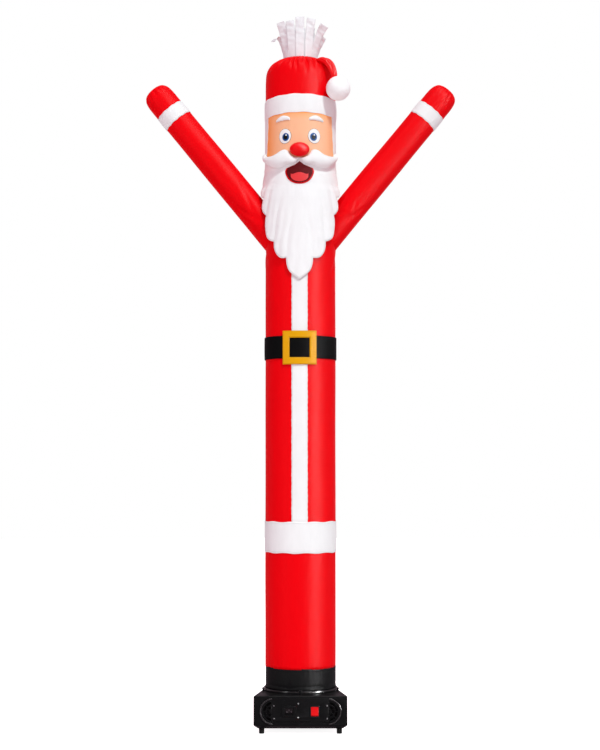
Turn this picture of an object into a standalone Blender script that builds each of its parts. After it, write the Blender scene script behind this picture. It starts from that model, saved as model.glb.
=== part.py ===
"""Inflatable air dancer on its blower.

A red cloth tube stands over the round outlet of a low blower box. The tube wears a coat with
white bands, a belt, a face with beard and moustache, and a hat with a pompom. Air leaves through
a vent ring at the top, where white streamers stand.

Metres, +Z up, the front towards -Y. The origin lies under the tube's axis, on the ground.
"""

import math

import bmesh
import bpy
from mathutils import Vector, geometry

MM = 0.001

# The tube, which most other sizes follow.
TUBE_RADIUS = 0.1145
CLOTH = 1.5 * MM
TUBE_SEGMENTS = 40
TUBE_BOTTOM = 0.196
TUBE_TOP = 2.011
TUBE_ROW = 0.31

# Gaps between pieces. SEAT clears the facets of the tube under a sewn-on piece.
TOUCH = 0.3 * MM
SEAT = 0.7 * MM

# Arms: straight tubes that leave the tube's axis at SHOULDER_Z.
SHOULDER_Z = 1.485
ARM_TILT = 39.4
ARM_RADIUS = 0.0503
ARM_TAPER = 0.0020
ARM_LENGTH = 0.765
ARM_SEGMENTS = 24
ARM_HOLE_RADIUS = 0.044
SLEEVE_START = 0.631
SLEEVE_WIDTH = 0.047

# Coat.
CUFF_BOTTOM = 0.1305
HEM_BOTTOM = 0.563
HEM_WIDTH = 0.100
PLACKET_WIDTH = 0.052
PLACKET_TOP = 1.497
PLACKET_CLOTH = 1.0 * MM
PLACKET_AZIMUTH = -1.5
BELT_BOTTOM = 1.185
BELT_WIDTH = 0.073
TUBE_SEAM = BELT_BOTTOM + BELT_WIDTH / 2
BUCKLE_SIDE = 0.108
BUCKLE_OPENING = 0.062
BUCKLE_THICKNESS = 3.5 * MM

# Hat.
HAT_BAND_BOTTOM = 1.980
HAT_BAND_WIDTH = 0.062
CROWN_SEGMENTS = 60
CROWN_GATHERS = 20
POMPOM_RADIUS = 0.041
POMPOM_PLACE = Vector((0.122, -0.104, 2.059))

# Streamers on the vent ring.
STREAMERS = 12
VENT_RADIUS = 0.0570
VENT_BOTTOM = 2.166
VENT_TOP = 2.180
STREAMER_CLOTH = 1.2 * MM
STREAMER_STEPS = 6

# Face.
FACE_BOTTOM = 1.834
FACE_TOP = HAT_BAND_BOTTOM - 1.4 * MM
FACE_AZIMUTH = 72.0
FACE_CLOTH = 1.0 * MM
NOSE_HALF_WIDTH = 0.032
NOSE_HALF_HEIGHT = 0.0235
NOSE_Z = 1.857
NOSE_EDGE = 2.0 * MM
NOSE_RISE = 30.0 * MM
EYE_AZIMUTH = 24.0
EYE_Z = 1.903
EYE_HALF_WIDTH = 0.0205
EYE_HALF_HEIGHT = 0.0235
PUPIL_HALF_WIDTH = 0.0115
PUPIL_HALF_HEIGHT = 0.0130
BROW_INNER = 15.0
BROW_OUTER = 41.0
BROW_Z = 1.954
BROW_RISE = 8.5 * MM
BROW_HALF_HEIGHT = 7.0 * MM
MOUSTACHE_BACK = 4.4 * MM
BEARD_CLOTH = 1.5 * MM
MOUTH_CLOTH = 1.2 * MM
MOUTH_BOTTOM = ((0.0, 1.7460), (19.0, 1.7470), (23.0, 1.7880))
MOUTH_TOP = ((23.0, 1.7880), (21.5, 1.7975), (13.5, 1.8040), (6.5, 1.8095), (0.0, 1.8200))

# The largest side of the triangles on each piece that is sewn to the face.
PANEL_SPACING = 0.0178
NOSE_SPACING = 0.009
EYE_SPACING = 0.014
BROW_SPACING = 0.011
MOUTH_SPACING = 0.012

# Blower box: a trapezoid in plan, wide at the front.
BOX_FRONT = -0.150
BOX_BACK = 0.150
BOX_FRONT_HALF = 0.148
BOX_BACK_HALF = 0.0956
BOX_BOTTOM = 0.0166
BOX_CORNER = 0.0276
BOX_TOP = 0.120
BOX_INSET = 0.0125
COLLAR_OUTER = 0.1125
COLLAR_INNER = 0.1100
COLLAR_TOP = 0.185
WELL_RADIUS = 0.104
WELL_DEPTH = 0.030
FLANGE_OUTER = 0.1195
FLANGE_INNER = 0.1154
FLANGE_TOP = 0.1285
CLIP_HALF_WIDTH = 0.005
CLIP_THICKNESS = 0.0045
CLIP_RISE = 0.005
LUG_PLACE = (0.1195, -0.035)
LUG_SIDES = 12
LUG_PROFILE = (  # radius, height above the box: a stem with a round head
    (0.0025, 0.0), (0.0025, 0.0045), (0.0040, 0.0060), (0.0040, 0.0090), (0.0025, 0.0105))
FOOT_RADIUS = 0.0088
FEET = (("foot_front_l", -0.1225, -0.128), ("foot_front_r", 0.1225, -0.128),
        ("foot_back_l", -0.076, 0.124), ("foot_back_r", 0.076, 0.124))

# Front of the blower: a plate between two round air inlets.
PLATE_HALF = 0.0885
PLATE_BOTTOM = 0.0405
PLATE_TOP = 0.1145
PLATE_THICKNESS = 2.0 * MM
INLET_X = 0.0873
INLET_Z = 0.0718
BEZEL_OUTER = 0.0410
BEZEL_INNER = 0.0370
GRILLE_RADIUS = 0.0366
GRILLE_SLOTS = ((0.0225, 0.0305, 4), (0.0110, 0.0190, 3))  # inner and outer radius, sectors
GRILLE_SPOKE = 4.0
AIR_RECESS_RADIUS = 0.0335
AIR_RECESS_DEPTH = 0.022
SOCKET_X = -0.036
SOCKET_DEPTH = 0.016
SOCKET_HALF_WIDTH = 0.0135
SOCKET_HALF_HEIGHT = 0.0100
INLET_FRAME_HALF = (0.0230, 0.0170)
PIN_LENGTH = 0.013
PIN_HALF = (0.001, 0.002)
PINS = (("pin_left", -0.007, -0.002), ("pin_right", 0.007, -0.002), ("pin_earth", 0.0, 0.003))
SCREW_RADIUS = 2.6 * MM
SCREW_HEIGHT = 1.6 * MM
SCREWS = ((-0.0835, 0.0500), (-0.0835, 0.0895), (0.0835, 0.0500), (0.0835, 0.0895),
          (-0.0070, 0.0530), (-0.0070, 0.0965))

# Rocker switch. It turns about an axis along X behind its frame.
ROCKER_X = 0.0447
ROCKER_HALF_WIDTH = 0.0115
ROCKER_RADIUS = 0.0150
ROCKER_TILT = 11.0
ROCKER_CLEARANCE = 0.4 * MM
ROCKER_WELL_DEPTH = 0.013
PIVOT_DEPTH = 0.006
SWITCH_FRAME = 2.0 * MM
SWITCH_FRAME_HALF = (0.0150, 0.0185)
FRAME_FRONT = BOX_FRONT - TOUCH - PLATE_THICKNESS - TOUCH - SWITCH_FRAME

FINISHES = {  # colour, roughness, metallic
    "red_cloth": ((0.70, 0.003, 0.005), 0.50, 0.0),
    "white_cloth": ((0.86, 0.84, 0.85), 0.60, 0.0),
    "black_cloth": ((0.010, 0.010, 0.010), 0.55, 0.0),
    "gold_cloth": ((0.85, 0.37, 0.01), 0.45, 0.0),
    "peach_cloth": ((1.00, 0.46, 0.22), 0.60, 0.0),
    "navy_cloth": ((0.010, 0.020, 0.060), 0.45, 0.0),
    "mouth_cloth": ((0.35, 0.010, 0.012), 0.60, 0.0),
    "black_plastic": ((0.008, 0.008, 0.009), 0.42, 0.0),
    "gloss_plastic": ((0.006, 0.006, 0.007), 0.18, 0.0),
    "red_plastic": ((0.75, 0.010, 0.010), 0.25, 0.0),
    "rubber": ((0.010, 0.010, 0.010), 0.80, 0.0),
    "screw_steel": ((0.30, 0.30, 0.31), 0.35, 1.0),
}


def clear_scene():
    for obj in list(bpy.data.objects):
        bpy.data.objects.remove(obj, do_unlink=True)


def new_collection(name):
    collection = bpy.data.collections.new(name)
    bpy.context.scene.collection.children.link(collection)
    return collection


def new_material(name, colour, roughness, metallic):
    material = bpy.data.materials.new(name)
    material.use_nodes = True
    shader = material.node_tree.nodes["Principled BSDF"]
    shader.inputs["Base Color"].default_value = (*colour, 1.0)
    shader.inputs["Roughness"].default_value = roughness
    shader.inputs["Metallic"].default_value = metallic
    material.diffuse_color = (*colour, 1.0)
    return material


clear_scene()
PARTS = new_collection("air_dancer")
CUTTERS = new_collection("cutters")
MATERIALS = {name: new_material(name, *finish) for name, finish in FINISHES.items()}


# Points and outlines.

def on_tube(azimuth, radius, height):
    """A point at an azimuth in degrees, from the front towards +X."""
    turn = math.radians(azimuth)
    return Vector((radius * math.sin(turn), -radius * math.cos(turn), height))


def ring(radius, height, segments=TUBE_SEGMENTS):
    """A ring of points round the tube's axis; radius and height may depend on the azimuth."""
    points = []
    for step in range(segments):
        azimuth = 360 * step / segments
        wide = radius(azimuth) if callable(radius) else radius
        high = height(azimuth) if callable(height) else height
        points.append(on_tube(azimuth, wide, high))
    return points


def table_value(table, key):
    """Reads a table of (key, value) rows, falling keys, with smooth steps between the rows."""
    if key >= table[0][0]:
        return table[0][1]
    for (high, above), (low, below) in zip(table, table[1:]):
        if key >= low:
            share = (high - key) / (high - low)
            share = share * share * (3 - 2 * share)
            return above + (below - above) * share
    return table[-1][1]


def arc_length(azimuth):
    return math.radians(azimuth) * TUBE_RADIUS


def azimuth_at(arc):
    return math.degrees(arc / TUBE_RADIUS)


def bend(start, control, end, steps):
    """Points of a quadratic curve, without its last one."""
    points = []
    for step in range(steps):
        t = step / steps
        first = start[0] * (1 - t) ** 2 + 2 * control[0] * t * (1 - t) + end[0] * t * t
        second = start[1] * (1 - t) ** 2 + 2 * control[1] * t * (1 - t) + end[1] * t * t
        points.append((first, second))
    return points


def oval(centre_azimuth, centre_z, half_width, half_height, points):
    """An outline of (azimuth, height) points; the half sizes are in metres."""
    outline = []
    for step in range(points):
        turn = 2 * math.pi * step / points
        outline.append((centre_azimuth + azimuth_at(half_width * math.cos(turn)),
                        centre_z + half_height * math.sin(turn)))
    return outline


def both_sides(half):
    """Adds the mirror image of an outline's right half, given from its bottom to its top."""
    return half + [(-azimuth, z) for azimuth, z in reversed(half) if azimuth > 1e-6]


# Meshes.

def add_object(name, data, finish, collection=PARTS):
    obj = bpy.data.objects.new(name, data)
    collection.objects.link(obj)
    if finish:
        data.materials.append(MATERIALS[finish])
    return obj


def finished(name, shape, closed):
    """Turns a bmesh into mesh data, with its faces outwards where it is closed."""
    if closed:
        bmesh.ops.recalc_face_normals(shape, faces=shape.faces)
    data = bpy.data.meshes.new(name)
    shape.to_mesh(data)
    shape.free()
    data.shade_smooth()
    data.set_sharp_from_angle(angle=math.radians(40))
    return data


def skin(name, rings, closed=False, hoop=False, strip=False):
    """A skin of quads through rings of points. A ring of one point closes the skin there.

    hoop joins the last ring to the first one as well; strip leaves the rings open.
    """
    shape = bmesh.new()
    rows = [[shape.verts.new(point) for point in points] for points in rings]
    pairs = list(zip(rows, rows[1:]))
    if hoop:
        pairs.append((rows[-1], rows[0]))
    for low, high in pairs:
        count = max(len(low), len(high))
        for step in range(count - strip):
            after = (step + 1) % count
            if len(high) == 1:
                shape.faces.new((low[step], low[after], high[0]))
            elif len(low) == 1:
                shape.faces.new((low[0], high[after], high[step]))
            else:
                shape.faces.new((low[step], low[after], high[after], high[step]))
    return finished(name, shape, closed or hoop)


def loft(name, sections):
    """A closed solid through sections of points, with flat ends."""
    shape = bmesh.new()
    rows = [[shape.verts.new(point) for point in points] for points in sections]
    for low, high in zip(rows, rows[1:]):
        for step in range(len(low)):
            after = (step + 1) % len(low)
            shape.faces.new((low[step], low[after], high[after], high[step]))
    shape.faces.new(list(reversed(rows[0])))
    shape.faces.new(rows[-1])
    return finished(name, shape, True)


def thicken(obj, thickness, offset=-1.0):
    """Gives an open skin its cloth thickness, inwards unless offset is +1."""
    modifier = obj.modifiers.new("cloth", "SOLIDIFY")
    modifier.thickness = thickness
    modifier.offset = offset
    modifier.use_rim = True
    return modifier


def cut(obj, cutter):
    modifier = obj.modifiers.new("cut_" + cutter.name, "BOOLEAN")
    modifier.operation = "DIFFERENCE"
    modifier.solver = "EXACT"
    modifier.object = cutter


def join(obj, other):
    modifier = obj.modifiers.new("join_" + other.name, "BOOLEAN")
    modifier.operation = "UNION"
    modifier.solver = "EXACT"
    modifier.object = other


def as_helper(obj):
    """Makes an object a cutter, which isn't part of the model."""
    for collection in list(obj.users_collection):
        collection.objects.unlink(obj)
    CUTTERS.objects.link(obj)
    obj.hide_render = True
    obj.display_type = "WIRE"
    return obj


def cylinder(name, radius, low, high, segments, finish=None, top_radius=None):
    """An upright cylinder or cone about the object's own Z axis."""
    shape = bmesh.new()
    bmesh.ops.create_cone(shape, cap_ends=True, segments=segments, radius1=radius,
                          radius2=top_radius or radius, depth=high - low)
    bmesh.ops.translate(shape, verts=shape.verts, vec=(0, 0, (low + high) / 2))
    return add_object(name, finished(name, shape, True), finish)


def box(name, low, high, finish=None):
    """A box between two corners."""
    shape = bmesh.new()
    bmesh.ops.create_cube(shape, size=1.0)
    for vert in shape.verts:
        vert.co = Vector([high[i] if vert.co[i] > 0 else low[i] for i in range(3)])
    return add_object(name, finished(name, shape, True), finish)


def turned(name, profile, segments, finish):
    """A Screw of a closed profile of (radius, height) points, listed down its outer side."""
    data = bpy.data.meshes.new(name)
    points = [(radius, 0, height) for radius, height in profile]
    edges = [(step, (step + 1) % len(points)) for step in range(len(points))]
    data.from_pydata(points, edges, [])
    obj = add_object(name, data, finish)
    screw = obj.modifiers.new("turn", "SCREW")
    screw.steps = segments
    screw.render_steps = segments
    screw.use_merge_vertices = True
    screw.merge_threshold = 0.00001
    screw.use_smooth_shade = True
    return obj


def tube_ring(name, inner, outer, bottom, top, finish):
    """A straight ring round the tube's axis."""
    profile = [(outer, top), (outer, bottom), (inner, bottom), (inner, top)]
    return turned(name, profile, TUBE_SEGMENTS, finish)


def flat_plate(name, outlines, front, thickness, finish):
    """An upright plate that faces -Y, from outlines of (x, z) points; the later ones are holes."""
    data = bpy.data.curves.new(name, "CURVE")
    data.dimensions = "2D"
    data.fill_mode = "BOTH"
    data.extrude = thickness / 2
    for outline in outlines:
        spline = data.splines.new("POLY")
        spline.points.add(len(outline) - 1)
        for point, (x, z) in zip(spline.points, outline):
            point.co = (x, z, 0, 1)
        spline.use_cyclic_u = True
    obj = add_object(name, data, finish)
    obj.location = (0, front + thickness / 2, 0)
    obj.rotation_euler = (math.radians(90), 0, 0)
    return obj


def rounded_rectangle(centre_x, centre_z, half_width, half_height, corner, steps=3):
    """An outline of (x, z) points."""
    outline = []
    for turn, side_x, side_z in ((0, 1, 1), (90, -1, 1), (180, -1, -1), (270, 1, -1)):
        for step in range(steps + 1):
            angle = math.radians(turn + 90 * step / steps)
            outline.append((centre_x + side_x * (half_width - corner) + corner * math.cos(angle),
                            centre_z + side_z * (half_height - corner) + corner * math.sin(angle)))
    return outline


def arc(centre_x, centre_z, radius, first, last, steps):
    """Points of (x, z) on an arc, angles in degrees from +X."""
    points = []
    for step in range(steps + 1):
        angle = math.radians(first + (last - first) * step / steps)
        points.append((centre_x + radius * math.cos(angle), centre_z + radius * math.sin(angle)))
    return points


# Sewn-on pieces: an outline on the unrolled tube, with a back and a front surface.

def spaced(outline, step):
    """The outline with points added, so that no side is longer than step."""
    points = []
    for start, end in zip(outline, outline[1:] + outline[:1]):
        count = max(1, math.ceil((end - start).length / step))
        points += [start.lerp(end, part / count) for part in range(count)]
    return points


def inset_of(point, outline):
    """How far a point is from an outline."""
    nearest = math.inf
    for start, end in zip(outline, outline[1:] + outline[:1]):
        foot, share = geometry.intersect_point_line(point, start, end)
        foot = start.lerp(end, min(max(share, 0.0), 1.0))
        nearest = min(nearest, (point - foot.to_2d()).length)
    return nearest


def is_inside(point, outline):
    crossings = 0
    for start, end in zip(outline, outline[1:] + outline[:1]):
        if (start.y > point.y) != (end.y > point.y):
            share = (point.y - start.y) / (end.y - start.y)
            crossings += point.x < start.x + share * (end.x - start.x)
    return crossings % 2 == 1


def inner_points(rim, spacing):
    """An even triangular grid of points inside an outline, away from its edge."""
    low = Vector((min(p.x for p in rim), min(p.y for p in rim)))
    high = Vector((max(p.x for p in rim), max(p.y for p in rim)))
    row_step = spacing * math.sqrt(3) / 2
    points = []
    for row in range(1, int((high.y - low.y) / row_step) + 1):
        shift = spacing / 2 if row % 2 else 0.0
        for column in range(int((high.x - low.x) / spacing) + 2):
            point = Vector((low.x + shift + column * spacing, low.y + row * row_step))
            if is_inside(point, rim) and inset_of(point, rim) > 0.6 * spacing:
                points.append(point)
    return points


def sewn_on(name, outline, spacing, back, front, finish):
    """A closed solid over an outline of (azimuth, height) points on the unrolled tube.

    back and front give a surface's height above the tube from azimuth, height and the
    distance to the outline.
    """
    rim = spaced([Vector((arc_length(azimuth), z)) for azimuth, z in outline], spacing)
    flat = rim + inner_points(rim, spacing)
    points, _, faces = geometry.delaunay_2d_cdt(flat, [], [list(range(len(rim)))], 1, 1e-7)[:3]
    shape = bmesh.new()
    layers = []
    for surface in (back, front):
        layer = []
        for point in points:
            azimuth = azimuth_at(point.x)
            raised = surface(azimuth, point.y, inset_of(point, rim))
            layer.append(shape.verts.new(on_tube(azimuth, TUBE_RADIUS + raised, point.y)))
        layers.append(layer)
    behind, ahead = layers
    sides = {}
    for face in faces:
        shape.faces.new([ahead[i] for i in face])
        shape.faces.new([behind[i] for i in reversed(face)])
        for start, end in zip(face, face[1:] + face[:1]):
            if (end, start) in sides:
                del sides[(end, start)]
            else:
                sides[(start, end)] = True
    for start, end in sides:
        shape.faces.new((ahead[end], ahead[start], behind[start], behind[end]))
    return add_object(name, finished(name, shape, True), finish)


def flat_cloth(name, outline, spacing, seat, thickness, finish):
    """A sewn-on sheet of even thickness."""
    return sewn_on(name, outline, spacing, lambda azimuth, z, inset: seat,
                   lambda azimuth, z, inset: seat + thickness, finish)


def stuffed(name, outline, spacing, seat, edge, crown, reach, finish):
    """A sewn-on stuffed piece: its front rises from edge to edge + crown within reach of the rim."""
    def front(azimuth, z, inset):
        share = 1 - min(inset / reach, 1.0)
        return seat + edge + crown * math.sqrt(1 - share * share)
    return sewn_on(name, outline, spacing, lambda azimuth, z, inset: seat, front, finish)


# The blower.

def box_half_width(y):
    share = (y - BOX_FRONT) / (BOX_BACK - BOX_FRONT)
    return BOX_FRONT_HALF + (BOX_BACK_HALF - BOX_FRONT_HALF) * share


def make_housing():
    sections = []
    for height, inset in ((BOX_BOTTOM, BOX_INSET), (BOX_CORNER, 0.0), (BOX_TOP, 0.0)):
        front, back = BOX_FRONT + inset, BOX_BACK - inset
        wide, narrow = box_half_width(front) - inset, box_half_width(back) - inset
        sections.append([Vector((-wide, front, height)), Vector((wide, front, height)),
                         Vector((narrow, back, height)), Vector((-narrow, back, height))])
    housing = add_object("housing", loft("housing", sections), "black_plastic")
    bevel = housing.modifiers.new("edges", "BEVEL")
    bevel.width = 2.0 * MM
    bevel.segments = 1
    for side, name in ((-1, "air_recess_l"), (1, "air_recess_r")):
        recess = cylinder(name, AIR_RECESS_RADIUS, -0.01, AIR_RECESS_DEPTH, 24)
        recess.location = (side * INLET_X, BOX_FRONT, INLET_Z)
        recess.rotation_euler = (math.radians(-90), 0, 0)
        cut(housing, as_helper(recess))
    well = cylinder("outlet_well", WELL_RADIUS, BOX_TOP - WELL_DEPTH, BOX_TOP + 0.01, TUBE_SEGMENTS)
    cut(housing, as_helper(well))
    wells = (  # name, middle, half width, half height, depth
        ("rocker_well", ROCKER_X, ROCKER_HALF_WIDTH + ROCKER_CLEARANCE, ROCKER_RADIUS + 1.0 * MM,
         ROCKER_WELL_DEPTH),
        ("socket_well", SOCKET_X, SOCKET_HALF_WIDTH, SOCKET_HALF_HEIGHT, SOCKET_DEPTH))
    for name, middle, half_width, half_height, depth in wells:
        well = box(name, (middle - half_width, BOX_FRONT - depth, INLET_Z - half_height),
                   (middle + half_width, BOX_FRONT + depth, INLET_Z + half_height))
        cut(housing, as_helper(well))


def make_outlet():
    tube_ring("outlet_collar", COLLAR_INNER, COLLAR_OUTER, BOX_TOP + TOUCH, COLLAR_TOP,
              "black_plastic")
    tube_ring("flange_ring", FLANGE_INNER, FLANGE_OUTER, BOX_TOP + TOUCH, FLANGE_TOP,
              "gloss_plastic")
    clip_back = -FLANGE_OUTER - 0.5 * MM
    clip = box("flange_clip", (-CLIP_HALF_WIDTH, clip_back - CLIP_THICKNESS, BOX_TOP + TOUCH),
               (CLIP_HALF_WIDTH, clip_back, FLANGE_TOP + CLIP_RISE), "black_plastic")
    bevel = clip.modifiers.new("edges", "BEVEL")
    bevel.width = 0.8 * MM
    bevel.segments = 1
    for name, side in (("lug_l", -1), ("lug_r", 1)):
        rings = [[Vector((0, 0, LUG_PROFILE[0][1]))]]
        for radius, height in LUG_PROFILE:
            rings.append([Vector((radius * math.cos(t), radius * math.sin(t), height))
                          for t in (2 * math.pi * step / LUG_SIDES for step in range(LUG_SIDES))])
        rings.append([Vector((0, 0, LUG_PROFILE[-1][1]))])
        lug = add_object(name, skin(name, rings, closed=True), "black_plastic")
        lug.location = (side * LUG_PLACE[0], LUG_PLACE[1], BOX_TOP + TOUCH)


def slot(centre_x, centre_z, inner, outer, first, last, steps):
    """A curved slot of a grille."""
    return (arc(centre_x, centre_z, outer, first, last, steps)
            + arc(centre_x, centre_z, inner, last, first, steps))


def make_air_inlets():
    """A half-round frame and a slotted guard on each side of the control plate."""
    back = BOX_FRONT - TOUCH
    edge = PLATE_HALF + 0.5 * MM
    for side, suffix in ((-1, "l"), (1, "r")):
        swing = 0 if side > 0 else 180

        def half_turn(radius):
            return math.degrees(math.acos((edge - INLET_X) / radius))

        wide, narrow = half_turn(BEZEL_OUTER), half_turn(BEZEL_INNER)
        frame = (arc(side * INLET_X, INLET_Z, BEZEL_OUTER, swing - wide, swing + wide, 16)
                 + arc(side * INLET_X, INLET_Z, BEZEL_INNER, swing + narrow, swing - narrow, 16))
        flat_plate("bezel_" + suffix, [frame], back - 4.0 * MM, 4.0 * MM, "gloss_plastic")
        reach = half_turn(GRILLE_RADIUS)
        outlines = [arc(side * INLET_X, INLET_Z, GRILLE_RADIUS, swing - reach, swing + reach, 16)]
        for inner, outer, sectors in GRILLE_SLOTS:
            limit = math.degrees(math.acos((edge + 2.0 * MM - INLET_X) / inner))
            step = 2 * limit / sectors
            for sector in range(sectors):
                first = swing - limit + sector * step + GRILLE_SPOKE / 2
                last = first + step - GRILLE_SPOKE
                outlines.append(slot(side * INLET_X, INLET_Z, inner, outer, first, last, 3))
        flat_plate("grille_" + suffix, outlines, back - 1.5 * MM, 1.5 * MM, "black_plastic")


def make_control_plate():
    """The plate with its power inlet and switch frame."""
    front = BOX_FRONT - TOUCH - PLATE_THICKNESS
    half_height = (PLATE_TOP - PLATE_BOTTOM) / 2
    middle = (PLATE_TOP + PLATE_BOTTOM) / 2
    rocker_hole = rounded_rectangle(ROCKER_X, INLET_Z, ROCKER_HALF_WIDTH + ROCKER_CLEARANCE,
                                    ROCKER_RADIUS + 0.6 * MM, 0.5 * MM, 1)
    socket_hole = rounded_rectangle(SOCKET_X, INLET_Z, SOCKET_HALF_WIDTH, SOCKET_HALF_HEIGHT,
                                    1.0 * MM, 1)
    flat_plate("control_plate",
               [rounded_rectangle(0, middle, PLATE_HALF, half_height, 3.0 * MM), rocker_hole,
                socket_hole], front, PLATE_THICKNESS, "black_plastic")
    flat_plate("switch_bezel",
               [rounded_rectangle(ROCKER_X, INLET_Z, *SWITCH_FRAME_HALF, 2.0 * MM),
                rounded_rectangle(ROCKER_X, INLET_Z, ROCKER_HALF_WIDTH + ROCKER_CLEARANCE,
                                  ROCKER_RADIUS, 0.5 * MM, 1)],
               FRAME_FRONT, SWITCH_FRAME, "gloss_plastic")
    half_width, half_height = SOCKET_HALF_WIDTH - 0.5 * MM, SOCKET_HALF_HEIGHT - 0.5 * MM
    flat_plate("power_inlet",
               [rounded_rectangle(SOCKET_X, INLET_Z, *INLET_FRAME_HALF, 3.0 * MM),
                rounded_rectangle(SOCKET_X, INLET_Z, half_width, half_height, 2.0 * MM, 2)],
               FRAME_FRONT, SWITCH_FRAME, "black_plastic")
    floor = BOX_FRONT + SOCKET_DEPTH - TOUCH
    base_front = floor - 3.0 * MM
    base = box("inlet_pins", (SOCKET_X - half_width, base_front, INLET_Z - half_height),
               (SOCKET_X + half_width, floor, INLET_Z + half_height), "screw_steel")
    for name, x, z in PINS:
        pin = box(name, (SOCKET_X + x - PIN_HALF[0], floor - 1.0 * MM - PIN_LENGTH,
                         INLET_Z + z - PIN_HALF[1]),
                  (SOCKET_X + x + PIN_HALF[0], floor - 1.0 * MM, INLET_Z + z + PIN_HALF[1]))
        join(base, as_helper(pin))
    for number, (x, z) in enumerate(SCREWS, 1):
        screw = cylinder(f"plate_screw_{number}", SCREW_RADIUS, 0, SCREW_HEIGHT, 10, "screw_steel",
                         top_radius=SCREW_RADIUS - 0.8 * MM)
        screw.location = (x, front - TOUCH, z)
        screw.rotation_euler = (math.radians(90), 0, 0)


def make_rocker():
    """The switch's rocker, pressed in at its top. Its ends are arcs about its axis."""
    def on_arc(angle):
        return (ROCKER_RADIUS * math.sin(math.radians(angle)),
                ROCKER_RADIUS * math.cos(math.radians(angle)))
    upper = [on_arc(angle) for angle in (53, 66, 80, 94)] + [(0.008, -0.005)]
    profile = upper + [(-z, out) for z, out in reversed(upper)] + [(0.0, 0.0075)]
    sections = []
    for x in (-ROCKER_HALF_WIDTH, ROCKER_HALF_WIDTH):
        sections.append([Vector((x, -out, z)) for z, out in profile])
    rocker = add_object("switch_rocker", loft("switch_rocker", sections), "red_plastic")
    rocker.location = (ROCKER_X, FRAME_FRONT + PIVOT_DEPTH, INLET_Z)
    rocker.rotation_euler = (math.radians(-ROCKER_TILT), 0, 0)


def make_feet():
    for name, x, y in FEET:
        foot = cylinder(name, FOOT_RADIUS - 0.6 * MM, 0.0, BOX_BOTTOM - TOUCH, 16, "rubber",
                        top_radius=FOOT_RADIUS)
        foot.location = (x, y, 0)


# The cloth tube and what is sewn round it.

def arm_object(name, data, finish, side):
    """Places a piece that is drawn along an arm's own axis."""
    obj = add_object(name, data, finish)
    obj.location = (0, 0, SHOULDER_Z)
    obj.rotation_euler = (0, math.radians(side * ARM_TILT), 0)
    return obj


def tube_length(name, bottom, top):
    """One length of the tube's cloth."""
    rows = math.ceil((top - bottom) / TUBE_ROW)
    rings = [ring(TUBE_RADIUS, bottom + (top - bottom) * row / rows) for row in range(rows + 1)]
    tube = add_object(name, skin(name, rings), "red_cloth")
    thicken(tube, CLOTH)
    return tube


def make_tube():
    """Two lengths of cloth that meet under the belt. The upper one has a hole for each arm's air."""
    tube_length("body_tube", TUBE_BOTTOM, TUBE_SEAM - TOUCH)
    tube = tube_length("chest_tube", TUBE_SEAM, TUBE_TOP)
    for side, name in ((-1, "shoulder_hole_l"), (1, "shoulder_hole_r")):
        hole = cylinder(name, ARM_HOLE_RADIUS, 0.02, 0.40, ARM_SEGMENTS)
        hole.location = (0, 0, SHOULDER_Z)
        hole.rotation_euler = (0, math.radians(side * ARM_TILT), 0)
        cut(tube, as_helper(hole))


def arm_radius(along):
    return ARM_RADIUS - ARM_TAPER * along / ARM_LENGTH


# Along the arm, share of its radius, depth of the shoulder creases, depth of the gathers.
ARM_ROWS = (
    (0.100, 1.000, 0.0, 0.0),
    (0.270, 1.000, 2.2 * MM, 0.0),
    (0.330, 1.000, 1.4 * MM, 0.0),
    (0.420, 1.000, 0.6 * MM, 0.0),
    (0.620, 1.000, 0.0, 0.0),
    (0.712, 1.000, 0.0, 0.0),
    (0.736, 0.930, 0.0, 1.0 * MM),
    (0.751, 0.720, 0.0, 2.2 * MM),
    (0.760, 0.420, 0.0, 2.0 * MM),
)
SHOULDER_CREASES = 5
HAND_GATHERS = 8


def make_arm(side, suffix, crease_share):
    rings = []
    for along, share, crease, gather in ARM_ROWS:
        points = []
        for step in range(ARM_SEGMENTS):
            turn = 2 * math.pi * step / ARM_SEGMENTS
            wide = share * arm_radius(along)
            wide -= crease_share * crease * (0.5 + 0.5 * math.cos(SHOULDER_CREASES * turn + side))
            wide -= gather * (0.5 + 0.5 * math.cos(HAND_GATHERS * turn))
            points.append(Vector((wide * math.cos(turn), wide * math.sin(turn), along)))
        rings.append(points)
    rings.append([Vector((0, 0, ARM_LENGTH - 1.5 * MM))])
    arm = arm_object("arm_" + suffix, skin("arm_" + suffix, rings), "red_cloth", side)
    thicken(arm, CLOTH)
    trim = cylinder("shoulder_trim_" + suffix, TUBE_RADIUS + 0.4 * MM, 1.2, 1.95, TUBE_SEGMENTS)
    cut(arm, as_helper(trim))
    rings = []
    for along in (SLEEVE_START, SLEEVE_START + SLEEVE_WIDTH):
        wide = arm_radius(along) + 2.2 * MM
        rings.append([Vector((wide * math.cos(t), wide * math.sin(t), along))
                      for t in (2 * math.pi * step / ARM_SEGMENTS for step in range(ARM_SEGMENTS))])
    band = arm_object("sleeve_band_" + suffix, skin("sleeve_band_" + suffix, rings),
                      "white_cloth", side)
    thicken(band, CLOTH)


def wavy_band(name, bottom, width, seat, thickness, waves, wave, puff, finish):
    """A band sewn round the tube, with wavy edges and a front that puffs out a little."""
    rings = []
    rows = 4 if puff else 1
    for row in range(rows + 1):
        share = row / rows
        radius = TUBE_RADIUS + seat + thickness + puff * math.sin(math.pi * share)
        edge = wave if row in (0, rows) else 0.0

        def height(azimuth, share=share, edge=edge, row=row):
            return bottom + width * share + edge * math.sin(math.radians(waves * azimuth) + row)

        rings.append(ring(radius, height))
    band = add_object(name, skin(name, rings), finish)
    thicken(band, thickness)


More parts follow.
